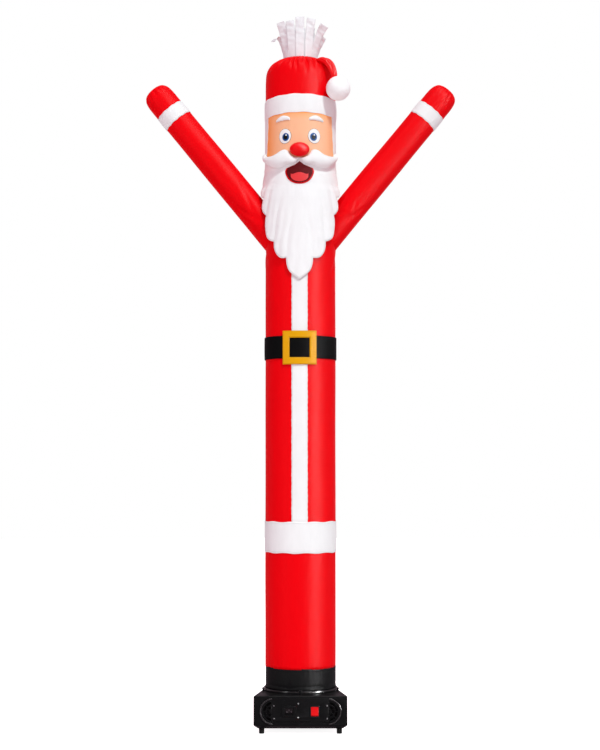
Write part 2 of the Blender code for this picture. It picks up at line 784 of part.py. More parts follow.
def make_coat():
    tube_ring("cuff", TUBE_RADIUS - CLOTH, TUBE_RADIUS, CUFF_BOTTOM, TUBE_BOTTOM - TOUCH,
              "black_cloth")
    wavy_band("hem_band", HEM_BOTTOM, HEM_WIDTH, SEAT, CLOTH, 10, 1.2 * MM, 0.0, "white_cloth")
    make_placket()
    inner = TUBE_RADIUS + 2.5 * MM
    tube_ring("belt", inner, inner + 1.2 * MM, BELT_BOTTOM, BELT_BOTTOM + BELT_WIDTH, "black_cloth")


def make_placket():
    """The strip down the coat's front, with wavy edges."""
    low = HEM_BOTTOM + HEM_WIDTH + 5.0 * MM
    rows, columns = 30, 3
    front = TUBE_RADIUS + SEAT + PLACKET_CLOTH
    strips = []
    for row in range(rows + 1):
        half = azimuth_at(PLACKET_WIDTH / 2 + 0.9 * MM * (1 if row % 2 else -1))
        height = low + (PLACKET_TOP - low) * row / rows
        strips.append([on_tube(PLACKET_AZIMUTH + half * (2 * column / columns - 1), front, height)
                       for column in range(columns + 1)])
    placket = add_object("placket", skin("placket", strips, strip=True), "white_cloth")
    thicken(placket, PLACKET_CLOTH)


def make_buckle():
    """A square frame that follows the belt round the tube."""
    back = TUBE_RADIUS + 4.8 * MM
    front = back + BUCKLE_THICKNESS
    outer, inner = BUCKLE_SIDE / 2, BUCKLE_OPENING / 2
    middle = (outer + inner) / 2
    centre_z = BELT_BOTTOM + BELT_WIDTH / 2 - 2.0 * MM
    steps = 6
    sections = []
    for side in range(4):
        for step in range(steps):
            share = 2 * step / steps - 1
            across, up = ((share, -1), (1, share), (-share, 1), (-1, -share))[side]
            section = []
            for half, radius in ((outer, back), (outer, front), (middle, front), (inner, front),
                                 (inner, back), (middle, back)):
                azimuth = math.degrees(across * half / back) + PLACKET_AZIMUTH
                section.append(on_tube(azimuth, radius, centre_z + up * half))
            sections.append(section)
    add_object("buckle", skin("buckle", sections, hoop=True), "gold_cloth")


# The hat.

# Radius and height down the crown's skin, and the depth of its gathers there.
CROWN_ROWS = (
    (0.1145, TUBE_TOP + 0.5 * MM, 0.0),
    (0.1145, 2.108, 0.0),
    (0.1115, 2.130, 1.0 * MM),
    (0.1010, 2.150, 2.2 * MM),
    (0.0800, 2.166, 3.0 * MM),
    (0.0588, 2.176, 0.0),
)


def make_crown():
    rings = []
    for radius, height, depth in CROWN_ROWS:
        def gathered(azimuth, radius=radius, depth=depth):
            return radius - depth * (0.5 - 0.5 * math.cos(math.radians(CROWN_GATHERS * azimuth)))

        def lowered(azimuth, height=height, depth=depth, radius=radius):
            slope = 1 - radius / TUBE_RADIUS
            wave = 0.5 - 0.5 * math.cos(math.radians(CROWN_GATHERS * azimuth))
            return height - slope * 2 * depth * wave

        rings.append(ring(gathered, lowered, CROWN_SEGMENTS))
    crown = add_object("hat_crown", skin("hat_crown", rings), "red_cloth")
    thicken(crown, CLOTH)


def crown_height(radius):
    """The height of the crown's skin at a radius."""
    rows = CROWN_ROWS[1:]
    for (outer, low, _), (inner, high, _) in zip(rows, rows[1:]):
        if radius >= inner:
            share = min(max((outer - radius) / (outer - inner), 0.0), 1.0)
            return low + (high - low) * share
    return rows[-1][1]


# Azimuth, radius, height, width and thickness of the hat's folded tip.
TIP_ROWS = (
    (42.0, 0.0640, 2.1780, 0.030, 0.006),
    (44.0, 0.0820, 2.1745, 0.040, 0.016),
    (46.0, 0.1030, 2.1620, 0.041, 0.022),
    (48.0, 0.1240, 2.1390, 0.036, 0.022),
    (49.3, 0.1370, 2.1140, 0.030, 0.017),
    (49.6, 0.1440, 2.0990, 0.024, 0.012),
)
TIP_ROWS_SEWN = 2
TIP_SIDES = 12


def on_pompom(point):
    """Where a point of the hat's tip rests on the pompom."""
    away = (point - POMPOM_PLACE).normalized()
    return POMPOM_PLACE + away * (POMPOM_RADIUS + SEAT)


def make_tip():
    """The crown's soft tip, sewn to the crown, folded over to the side and ending on the pompom."""
    middles = [on_tube(azimuth, radius, z) for azimuth, radius, z, _, _ in TIP_ROWS]
    rings = []
    for index, (azimuth, _, _, width, thickness) in enumerate(TIP_ROWS):
        before = middles[max(index - 1, 0)]
        after = middles[min(index + 1, len(middles) - 1)]
        forward = (after - before).normalized()
        across = on_tube(azimuth + 90, 1, 0)
        outward = forward.cross(across).normalized()
        section = []
        for step in range(TIP_SIDES):
            turn = 2 * math.pi * step / TIP_SIDES
            point = (middles[index] + across * (width / 2 * math.cos(turn))
                     + outward * (thickness / 2 * math.sin(turn)))
            if index < TIP_ROWS_SEWN and step > TIP_SIDES / 2:
                point.z = crown_height(math.hypot(point.x, point.y)) + SEAT * (1 + 2 * index)
            if index == len(TIP_ROWS) - 1:
                point = on_pompom(point)
            section.append(point)
        rings.append(section)
    rings = [[middles[0]]] + rings + [[on_pompom(middles[-1])]]
    add_object("hat_tip", skin("hat_tip", rings, closed=True), "red_cloth")


def make_pompom():
    """A soft ball with a slightly lumpy skin."""
    shape = bmesh.new()
    bmesh.ops.create_uvsphere(shape, u_segments=18, v_segments=12, radius=POMPOM_RADIUS)
    for vert in shape.verts:
        lump = math.sin(190 * vert.co.x + 1) * math.sin(170 * vert.co.y) * math.sin(210 * vert.co.z)
        vert.co *= 1 - 0.012 * (1 + lump)
    pompom = add_object("pompom", finished("pompom", shape, True), "white_cloth")
    pompom.location = POMPOM_PLACE


# How each streamer stands: its height, how far its end leans out and to the side, how far it
# curls down at its end.
STREAMER_ROWS = (
    (0.128, 0.004, 0.000, 0.000),
    (0.121, 0.007, 0.003, 0.000),
    (0.110, 0.030, 0.004, 0.002),
    (0.092, 0.022, -0.006, 0.008),
    (0.114, 0.018, -0.006, 0.000),
    (0.118, 0.010, 0.006, 0.000),
    (0.122, 0.008, 0.004, 0.000),
    (0.112, 0.016, 0.005, 0.002),
    (0.117, 0.014, -0.004, 0.000),
    (0.072, 0.036, -0.004, 0.028),
    (0.118, 0.015, 0.002, 0.000),
    (0.119, 0.005, -0.002, 0.000),
)
STREAMER_FIRST = 0.0
STREAMER_GAP = 2.0


def streamer_points(azimuth, row, share):
    """The middle of a streamer at a share of its length, as radius, azimuth and height."""
    height, lean, side, curl = row
    radius = VENT_RADIUS + lean * share ** 1.6
    rise = VENT_TOP + height * share - curl * max(0.0, share - 0.55) ** 2 * 10
    return radius, azimuth + azimuth_at(side * share ** 1.5 * 2), rise


def make_streamers():
    """White strips on one narrow ring, as one skin that is given its thickness at the end."""
    shape = bmesh.new()
    pitch = 360 / STREAMERS
    half = pitch / 2 - STREAMER_GAP / 2
    low, high = [], []
    for number in range(STREAMERS):
        middle = STREAMER_FIRST + number * pitch
        for azimuth in (middle - half, middle + half):
            low.append(shape.verts.new(on_tube(azimuth, VENT_RADIUS, VENT_BOTTOM)))
            high.append(shape.verts.new(on_tube(azimuth, VENT_RADIUS, VENT_TOP)))
    for step in range(len(low)):
        after = (step + 1) % len(low)
        shape.faces.new((low[step], low[after], high[after], high[step]))
    for number, row in enumerate(STREAMER_ROWS):
        below = (high[2 * number], high[2 * number + 1])
        width = (below[1].co - below[0].co).length
        for step in range(1, STREAMER_STEPS + 1):
            share = step / STREAMER_STEPS
            middle = STREAMER_FIRST + number * pitch
            radius, azimuth, rise = streamer_points(middle, row, share)
            centre = on_tube(azimuth, radius, rise)
            across = on_tube(azimuth + 90, 1, 0) * (width / 2)
            above = (shape.verts.new(centre - across), shape.verts.new(centre + across))
            shape.faces.new((below[0], below[1], above[1], above[0]))
            below = above
    streamers = add_object("streamers", finished("streamers", shape, False), "white_cloth")
    thicken(streamers, STREAMER_CLOTH)


def make_hat():
    wavy_band("hat_band", HAT_BAND_BOTTOM, HAT_BAND_WIDTH, SEAT, 1.6 * MM, 10, 1.0 * MM, 0.8 * MM,
              "white_cloth")
    make_crown()
    make_tip()
    make_pompom()
    make_streamers()


# The face and the beard.

BEARD_EDGE = (  # height, how far the beard's edge stands off the tube
    (1.835, 1.3 * MM), (1.820, 1.7 * MM), (1.800, 4.0 * MM), (1.755, 12.0 * MM),
    (1.730, 21.0 * MM), (1.680, 21.0 * MM), (1.650, 17.0 * MM), (1.590, 15.5 * MM),
    (1.550, 12.5 * MM), (1.500, 9.0 * MM), (1.441, 7.5 * MM))
BEARD_MIDDLE = (  # height, how far the beard's middle stands off the tube
    (1.835, 1.3 * MM), (1.800, 1.3 * MM), (1.750, 2.8 * MM), (1.700, 5.2 * MM),
    (1.600, 6.2 * MM), (1.500, 7.0 * MM), (1.441, 7.0 * MM))
BEARD_SPREAD = (  # height, the azimuth that the beard's edge reaches
    (1.835, 86.0), (1.800, 84.0), (1.755, 80.0), (1.730, 76.0), (1.700, 70.0), (1.650, 64.0),
    (1.600, 62.0), (1.565, 50.0), (1.520, 42.0), (1.500, 26.0), (1.441, 12.0))
BEARD_FOLD = ((1.775, 0.0), (1.690, 2.5 * MM), (1.441, 2.0 * MM))


def beard_back(azimuth, z, inset=0.0):
    """How far the beard's back stands off the tube: low folds that run down it."""
    middle = table_value(BEARD_MIDDLE, z)
    edge = table_value(BEARD_EDGE, z)
    share = min(abs(azimuth) / table_value(BEARD_SPREAD, z), 1.1)
    fold = table_value(BEARD_FOLD, z) * math.cos(math.radians(16 * azimuth)
                                                 + 0.9 * math.sin(14 * (z - 1.441)))
    return middle + (edge - middle) * share * share + fold


BEARD_TIERS = (  # start, control and end of each tier as azimuth and height, steps
    ((0.0, 1.441), (21.0, 1.455), (22.5, 1.509), 4),
    ((22.5, 1.509), (43.0, 1.500), (45.5, 1.565), 5),
    ((45.5, 1.565), (66.0, 1.575), (61.0, 1.651), 6),
    ((61.0, 1.651), (74.5, 1.675), (65.5, 1.710), 4),
    ((65.5, 1.710), (74.5, 1.711), (75.5, 1.730), 2),
    ((75.5, 1.730), (78.5, 1.770), (86.0, 1.830), 5))
MOUSTACHE_ROWS = (  # right half: azimuth, bottom and top height, how far its front stands out
    (0.0, 1.8275, 1.8318, 5 * MM), (6.0, 1.8160, 1.8328, 10 * MM), (11.0, 1.8090, 1.8375, 15 * MM),
    (15.5, 1.8065, 1.8470, 18 * MM), (20.0, 1.8045, 1.8585, 20 * MM), (27.0, 1.8010, 1.8600, 22 * MM),
    (36.5, 1.7984, 1.8500, 23 * MM), (46.0, 1.8055, 1.8450, 22 * MM), (54.0, 1.8165, 1.8470, 20 * MM),
    (61.0, 1.8280, 1.8545, 17 * MM), (67.0, 1.8410, 1.8620, 14 * MM), (71.0, 1.8510, 1.8630, 9 * MM))
MOUSTACHE_END = (73.0, 1.8580, 4 * MM)
MOUSTACHE_SIDES = 12
BEARD_SPACING = 0.0155
HAIR_OUTER = 86.0


def make_beard():
    """One cloth with tiers of lobes down each side and a strip of hair beside the face."""
    half = []
    for start, control, end, steps in BEARD_TIERS:
        half += bend(start, control, end, steps)
    hair_inner = FACE_AZIMUTH + 0.4
    half += [(HAIR_OUTER, FACE_BOTTOM + 2.0 * MM), (HAIR_OUTER, FACE_TOP),
             (hair_inner, FACE_TOP), (hair_inner, FACE_BOTTOM - 2.0 * MM),
             (0.0, FACE_BOTTOM - 2.0 * MM)]
    sewn_on("beard", both_sides(half), BEARD_SPACING, beard_back,
            lambda azimuth, z, inset: beard_back(azimuth, z) + BEARD_CLOTH, "white_cloth")


def make_moustache():
    """Two stuffed lobes, joined under the nose, with a flat back."""
    back = TUBE_RADIUS + MOUSTACHE_BACK
    azimuth, height, front = MOUSTACHE_END
    rings = [[on_tube(-azimuth, back + front / 2, height)]]
    mirrored = [(-row[0], *row[1:]) for row in reversed(MOUSTACHE_ROWS[1:])]
    for middle, low, high, front in mirrored + list(MOUSTACHE_ROWS):
        section = []
        for step in range(MOUSTACHE_SIDES):
            turn = 2 * math.pi * step / MOUSTACHE_SIDES
            radius = back + front * max(math.cos(turn), 0.0)
            section.append(on_tube(middle, radius, (low + high + (high - low) * math.sin(turn)) / 2))
        rings.append(section)
    rings.append([on_tube(azimuth, back + MOUSTACHE_END[2] / 2, height)])
    add_object("moustache", skin("moustache", rings, closed=True), "white_cloth")


def make_face():
    outline = [(-FACE_AZIMUTH, FACE_BOTTOM), (FACE_AZIMUTH, FACE_BOTTOM),
               (FACE_AZIMUTH, FACE_TOP), (-FACE_AZIMUTH, FACE_TOP)]
    flat_cloth("face_panel", outline, PANEL_SPACING, SEAT, FACE_CLOTH, "peach_cloth")
    panel_front = SEAT + FACE_CLOTH + 0.6 * MM
    stuffed("nose", oval(0.0, NOSE_Z, NOSE_HALF_WIDTH, NOSE_HALF_HEIGHT, 20), NOSE_SPACING,
            panel_front, NOSE_EDGE, NOSE_RISE, NOSE_HALF_HEIGHT, "red_cloth")
    for side, suffix in ((-1, "l"), (1, "r")):
        flat_cloth("eye_" + suffix,
                   oval(side * EYE_AZIMUTH, EYE_Z, EYE_HALF_WIDTH, EYE_HALF_HEIGHT, 18),
                   EYE_SPACING, panel_front, FACE_CLOTH, "white_cloth")
        flat_cloth("pupil_" + suffix,
                   oval(side * (EYE_AZIMUTH - 1.5), EYE_Z - 3.0 * MM, PUPIL_HALF_WIDTH,
                        PUPIL_HALF_HEIGHT, 14), EYE_SPACING, panel_front + FACE_CLOTH + 0.6 * MM,
                   FACE_CLOTH, "navy_cloth")
        lower, upper = [], []
        steps = 7
        for step in range(steps + 1):
            share = step / steps
            azimuth = side * (BROW_INNER + (BROW_OUTER - BROW_INNER) * share)
            middle = BROW_Z + BROW_RISE * math.sin(math.pi * (0.15 + 0.85 * share))
            half = BROW_HALF_HEIGHT * math.sin(math.pi * (0.12 + 0.80 * share)) ** 0.7
            lower.append((azimuth, middle - half))
            upper.append((azimuth, middle + half))
        stuffed("brow_" + suffix, lower + upper[::-1], BROW_SPACING, panel_front, 1.0 * MM,
                4.0 * MM, BROW_HALF_HEIGHT, "white_cloth")
    half = bend(*MOUTH_BOTTOM, 4) + list(MOUTH_TOP)
    seat = BEARD_CLOTH + 0.8 * MM
    sewn_on("mouth", both_sides(half), MOUTH_SPACING,
            lambda azimuth, z, inset: beard_back(azimuth, z) + seat,
            lambda azimuth, z, inset: beard_back(azimuth, z) + seat + MOUTH_CLOTH, "mouth_cloth")


def build():
    make_housing()
    make_outlet()
    make_air_inlets()
    make_control_plate()
    make_rocker()
    make_feet()
    make_coat()
    make_buckle()
    make_tube()
    make_arm(-1, "l", 0.7)
    make_arm(1, "r", 1.0)
    make_beard()
    make_moustache()
    make_face()
    make_hat()


build()
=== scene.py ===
"""Inflatable air dancer on its blower, dressed in its cloth and finishes.

A red nylon tube stands over the round outlet of a low black blower. It wears a coat with white
bands, a belt with a gold buckle, a beard, a moustache and a gathered hat with a pompom, and white
streamers stand in the vent at its top. Each group of like pieces is made by its own operator.

Metres, +Z up, the front towards -Y. Azimuths run from the front towards +X, in degrees.
"""

import math

import bmesh
import bpy
import numpy as np
from bpy.props import FloatProperty, FloatVectorProperty, PointerProperty
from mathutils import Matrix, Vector, geometry, noise


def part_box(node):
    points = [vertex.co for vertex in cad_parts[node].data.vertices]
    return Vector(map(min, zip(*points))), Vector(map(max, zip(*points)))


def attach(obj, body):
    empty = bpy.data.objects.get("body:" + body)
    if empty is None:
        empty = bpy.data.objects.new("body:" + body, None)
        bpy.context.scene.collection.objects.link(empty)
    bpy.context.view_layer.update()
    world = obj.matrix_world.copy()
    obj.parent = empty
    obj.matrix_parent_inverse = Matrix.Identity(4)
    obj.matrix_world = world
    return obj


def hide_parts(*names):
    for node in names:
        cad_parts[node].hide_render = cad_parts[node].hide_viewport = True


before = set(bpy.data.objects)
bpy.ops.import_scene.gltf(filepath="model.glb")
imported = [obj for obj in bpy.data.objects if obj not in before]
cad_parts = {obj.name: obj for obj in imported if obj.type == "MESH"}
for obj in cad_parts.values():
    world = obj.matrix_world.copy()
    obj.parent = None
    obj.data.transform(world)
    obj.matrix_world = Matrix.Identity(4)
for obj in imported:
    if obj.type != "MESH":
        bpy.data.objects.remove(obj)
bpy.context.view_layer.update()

bl_info = {
    "name": "Inflatable air dancer",
    "version": (1, 0, 0),
    "blender": (4, 5, 0),
    "location": "3D View > Sidebar > Air dancer",
    "description": "Dresses an inflatable tube figure and its blower",
    "category": "Object",
}

MM = 0.001
DANCER = "dancer"
SWITCH = "switch"


# Sizes read from the solids.

def low(node):
    """The lowest corner of a solid's box."""
    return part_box(node)[0]


def high(node):
    """The highest corner of a solid's box."""
    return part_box(node)[1]


TUBE_RADIUS = (high("body_tube").x - low("body_tube").x) / 2
TUBE_BOTTOM = low("body_tube").z
TUBE_TOP = high("chest_tube").z
CUFF_BOTTOM = low("cuff").z
HEM_BOTTOM = low("hem_band").z
HEM_TOP = high("hem_band").z
BELT_BOTTOM = low("belt").z
BELT_TOP = high("belt").z
HAT_BOTTOM = low("hat_band").z
HAT_BAND_TOP = high("hat_band").z
POMPOM_PLACE = (low("pompom") + high("pompom")) / 2
POMPOM_RADIUS = (high("pompom").x - low("pompom").x) / 2
BUCKLE_MIDDLE = (low("buckle").z + high("buckle").z) / 2
BUCKLE_SIDE = high("buckle").z - low("buckle").z
GIRTH = 2 * math.pi * TUBE_RADIUS

# Sizes of the arms, which lean, so that their boxes don't give them. Places along an arm are
# measured from the tube's axis.
SHOULDER_Z = 1.485
ARM_TILT = 39.4  # degrees from upright
ARM_RADIUS = 0.0503
ARM_GIRTH = 2 * math.pi * ARM_RADIUS
ARM_TAPER = 0.0020
ARM_LENGTH = 0.765
HAND_START = 0.700
SLEEVE_START = 0.631
SLEEVE_WIDTH = 0.047

# How far the front of each layer of cloth stands off the tube.
SEWN = 1.6 * MM
PANEL_SEAT = 1.5 * MM
BELT_SEAT = 2.4 * MM
EYE_SEAT = 2.6 * MM
HAT_BAND_SEAT = 2.8 * MM
PUPIL_SEAT = 3.7 * MM
BUCKLE_SEAT = 4.9 * MM

FRONT_AZIMUTH = -1.5  # the middle of all that is sewn on the front
PLACKET_WIDTH = 0.052
PLACKET_TOP = 1.497
BUCKLE_OPENING = 0.062
VENT_RADIUS = 0.0570
VENT_BOTTOM = 2.166
VENT_TOP = 2.180
HAT_DROOP = 7.0 * MM


# Settings that a user would change.

def length(name, text, default):
    """A setting in metres."""
    return FloatProperty(name=name, description=text, default=default, min=0.0, subtype="DISTANCE",
                         unit="LENGTH", precision=4)


def colour(name, text, default):
    """A setting for a colour: linear red, green and blue."""
    return FloatVectorProperty(name=name, description=text, default=default, size=3, min=0.0,
                               max=1.0, subtype="COLOR")


def factor(name, text, default):
    """A setting that something is multiplied by."""
    return FloatProperty(name=name, description=text, default=default, min=0.0, max=2.0,
                         subtype="FACTOR")


def power(name, text, default):
    """A setting in watts."""
    return FloatProperty(name=name, description=text, default=default, min=0.0, unit="POWER")


class AirDancerSizes(bpy.types.PropertyGroup):
    """Sizes of the cloth."""

    cloth: length("Cloth", "Thickness of the nylon", 0.9 * MM)
    weave: length("Weave", "Distance between the nylon's threads", 0.6 * MM)
    stitch: length("Stitch", "Length of a stitch with its gap", 4.0 * MM)
    hem: length("Hem", "Distance of the stitching from a band's edge", 5.0 * MM)
    creases: factor("Creases", "Depth of the creases in the tube and arms", 1.0)
    gathers: factor("Gathers", "Depth of the gathers at seams and ends", 1.0)
    streamer_crinkle: length("Streamer crinkle", "Height of the streamers' crinkles", 0.9 * MM)


class AirDancerColours(bpy.types.PropertyGroup):
    """Colours of the cloth."""

    red: colour("Red", "Coat, sleeves, hat and nose", (0.875, 0.0004, 0.0040))
    white: colour("White", "Bands, placket, beard, moustache and brows", (0.905, 0.905, 0.912))
    fleece: colour("Fleece", "Pompom", (0.935, 0.935, 0.940))
    streamer: colour("Streamer", "Strips in the vent", (0.860, 0.850, 0.875))
    black: colour("Black", "Belt", (0.0045, 0.0045, 0.0048))
    cuff: colour("Cuff", "Sleeve over the outlet", (0.0095, 0.0095, 0.0098))
    gold: colour("Gold", "Buckle", (0.800, 0.375, 0.003))
    peach: colour("Peach", "Face", (0.930, 0.485, 0.285))
    # Painted shade: the orange laid over the face's sides and under the hat band.
    painted_shade: colour("Painted shade", "Sides of the face and under the hat", (1.000, 0.345, 0.065))
    navy: colour("Navy", "Pupils", (0.008, 0.045, 0.150))
    line: colour("Line", "Thin line round the eyes", (0.150, 0.050, 0.030))
    lips: colour("Lips", "Rim of the mouth", (0.640, 0.004, 0.008))
    mouth: colour("Mouth", "Inside of the mouth", (0.105, 0.004, 0.006))
    tongue: colour("Tongue", "Lower part of the mouth", (0.780, 0.045, 0.050))


class AirDancerBlower(bpy.types.PropertyGroup):
    """Colours of the blower."""

    shell: colour("Shell", "Moulded box and plate", (0.0055, 0.0055, 0.0060))
    gloss: colour("Gloss", "Rings and frames", (0.0060, 0.0060, 0.0065))
    rocker: colour("Rocker", "Rocker of the switch", (0.700, 0.004, 0.006))
    rubber: colour("Rubber", "Feet", (0.0085, 0.0085, 0.0085))
    steel: colour("Steel", "Screws and pins", (0.240, 0.240, 0.250))


class AirDancerStage(bpy.types.PropertyGroup):
    """Floor, light and camera."""

    floor: colour("Floor", "Colour of the floor", (0.800, 0.723, 0.725))
    floor_glow: factor("Floor glow", "How much the floor is whitened as it is seen", 0.90)
    key: FloatProperty(name="Key light", description="Strength of the light from the upper right",
                       default=2.14, min=0.0)
    key_tone: colour("Key tone", "Colour of the light from the upper right", (0.770, 1.000, 0.943))
    strip: power("Strip light", "Power of the tall strip at the right; the left one has half", 77.0)
    soft: power("Soft light", "Power of the glossy light at the upper right", 600.0)
    top: power("Top light", "Power of the glossy light overhead", 160.0)
    fill: power("Fill light", "Power of each wide light, at the front left and behind", 30.0)
    ambient: colour("Ambient", "Light of the surroundings", (0.567, 0.424, 0.486))
    camera_distance: length("Camera distance", "Distance of the camera from the tube", 5.22)
    camera_height: length("Camera height", "Height of the camera", 0.87)
    camera_tilt: FloatProperty(name="Camera tilt", description="Angle above the horizon",
                               default=math.radians(2.93), subtype="ANGLE")
    lens: FloatProperty(name="Lens", description="Focal length", default=76.8, min=1.0,
                        subtype="DISTANCE_CAMERA", unit="CAMERA")


class AirDancerSettings(bpy.types.PropertyGroup):
    """All settings of the air dancer."""

    sizes: PointerProperty(type=AirDancerSizes)
    colours: PointerProperty(type=AirDancerColours)
    blower: PointerProperty(type=AirDancerBlower)
    stage: PointerProperty(type=AirDancerStage)


def settings():
    """The settings of the open scene."""
    return bpy.context.scene.air_dancer


# Meshes.

def on_tube(azimuth, radius, height):
    """Points round the tube's axis, as an array with x, y and z last."""
    turn = np.radians(azimuth)
    return np.stack(np.broadcast_arrays(radius * np.sin(turn), -radius * np.cos(turn), height), -1)


def arc(azimuth):
    """The way round the tube, in metres, for an azimuth in degrees."""
    return np.radians(azimuth) * TUBE_RADIUS


def wrapped(degrees):
    """An angle brought between -180 and 180 degrees."""
    return (degrees + 180) % 360 - 180


def full_turn(count):
    """Evenly spaced angles round a full turn."""
    return np.arange(count) * 2 * math.pi / count


def hump(away, width):
    """1 in the middle, falling smoothly to 0 on both sides."""
    return np.exp(-(away / width) ** 2)


def groove(away, half, sharp, bank, reach):
    """A groove between low banks, which rise below 0; 1 where it is deepest."""
    return np.exp(-(np.abs(away) / half) ** sharp) - bank * hump(away, reach * half)


def linked(name, data):
    """An object of the scene for a mesh, a light or a camera."""
    obj = bpy.data.objects.new(name, data)
    bpy.context.scene.collection.objects.link(obj)
    return obj


def from_shape(name, shape):
    """A smooth mesh object for an edited shape, which is freed."""
    mesh = bpy.data.meshes.new(name)
    shape.to_mesh(mesh)
    shape.free()
    mesh.shade_smooth()
    return linked(name, mesh)


def new_object(name, points, faces, uv, edge=None):
    """A smooth mesh object, with the cloth's own coordinates in metres as its UV map."""
    mesh = bpy.data.meshes.new(name)
    mesh.from_pydata(np.asarray(points, float).reshape(-1, 3).tolist(), [], faces)
    if uv is not None:
        mesh.uv_layers.new(name="cloth").data.foreach_set("uv", np.asarray(uv, "f").ravel())
    if edge is not None:
        attribute = mesh.attributes.new("edge", "FLOAT", "POINT")
        attribute.data.foreach_set("value", np.asarray(edge, "f").ravel())
    mesh.shade_smooth()
    return linked(name, mesh)


def ring_grid(columns, rows):
    """Azimuths round the tube, the first one again at the end, and shares from 0 to 1 upwards."""
    return np.arange(columns + 1) * 360 / columns - 180, np.linspace(0, 1, rows)[:, None]


def to_edge(share, width):
    """How far a place across a band is from the band's nearer edge."""
    return np.minimum(share, 1 - share) * width


def cloth_grid(name, points, u, v, wrap=False, edge=None):
    """A cloth from an array of points, rows by columns; u and v are its own coordinates.

    With wrap, the last column is joined to the first one, and u and v have one column more.
    A piece that gets its coordinates later has None for them.
    """
    rows, columns = points.shape[:2]
    across = columns if wrap else columns - 1
    i, j = np.meshgrid(np.arange(rows - 1), np.arange(across), indexing="ij")
    after = (j + 1) % columns
    faces = np.stack([i * columns + j, i * columns + after, (i + 1) * columns + after,
                      (i + 1) * columns + j], -1).reshape(-1, 4)
    if u is None:
        return new_object(name, points, faces.tolist(), None, edge)
    u, v = np.broadcast_arrays(u, v)
    uv = np.stack([np.stack([c[i, j], c[i, j + 1], c[i + 1, j + 1], c[i + 1, j]], -1)
                   for c in (u, v)], -1)
    return new_object(name, points, faces.tolist(), uv, edge)


def merge_close(obj):
    """Joins the points that lie on each other, such as those at a gathered end."""
    shape = bmesh.new()
    shape.from_mesh(obj.data)
    bmesh.ops.remove_doubles(shape, verts=shape.verts, dist=0.02 * MM)
    shape.to_mesh(obj.data)
    shape.free()
    obj.data.shade_smooth()


def thicken(obj, thickness):
    """Gives a cloth its thickness, inwards."""
    modifier = obj.modifiers.new("cloth", "SOLIDIFY")
    modifier.thickness = thickness
    modifier.offset = -1.0
    modifier.use_rim = True


def bend(start, control, end):
    """Points of a quadratic curve, without its last one."""
    steps = 14
    t = np.arange(steps)[:, None] / steps
    start, control, end = np.array(start), np.array(control), np.array(end)
    return start * (1 - t) ** 2 + 2 * control * t * (1 - t) + end * t * t


def both_sides(half):
    """An outline from its right half, given from the bottom to the top."""
    mirrored = half[half[:, 0] > 1e-6][::-1] * (-1, 1)
    return np.concatenate([half, mirrored])


def oval(azimuth, height, half_width, half_height):
    """An outline of azimuths and heights; the half sizes are in metres."""
    turn = full_turn(count=72)
    wide = np.degrees(half_width / TUBE_RADIUS)
    return np.stack([azimuth + wide * np.cos(turn), height + half_height * np.sin(turn)], -1)


def spaced(outline, step):
    """The outline with points added, so that no side is longer than step."""
    points = []
    for start, end in zip(outline, np.roll(outline, -1, 0)):
        count = max(1, math.ceil(np.hypot(*(end - start)) / step))
        points.append(start + (end - start) * np.arange(count)[:, None] / count)
    return np.concatenate(points)


BATCH = 2000  # points measured at a time, to save memory


def inset_of(points, outline):
    """How far each point is from an outline."""
    start, side = outline, np.roll(outline, -1, 0) - outline
    square = np.maximum((side ** 2).sum(1), 1e-12)
    nearest = np.full(len(points), np.inf)
    for first in range(0, len(points), BATCH):
        away = points[first:first + BATCH, None] - start
        share = np.clip((away * side).sum(2) / square, 0, 1)
        gap = np.hypot(*np.moveaxis(away - share[..., None] * side, 2, 0))
        nearest[first:first + BATCH] = gap.min(1)
    return nearest


def inside(points, outline):
    """Which points lie inside an outline."""
    crossings = np.zeros(len(points), int)
    for start, end in zip(outline, np.roll(outline, -1, 0)):
        spans = (start[1] > points[:, 1]) != (end[1] > points[:, 1])
        rise = end[1] - start[1] or 1.0  # a level side spans no point
        at = start[0] + (points[:, 1] - start[1]) / rise * (end[0] - start[0])
        crossings += spans & (points[:, 0] < at)
    return crossings % 2 == 1


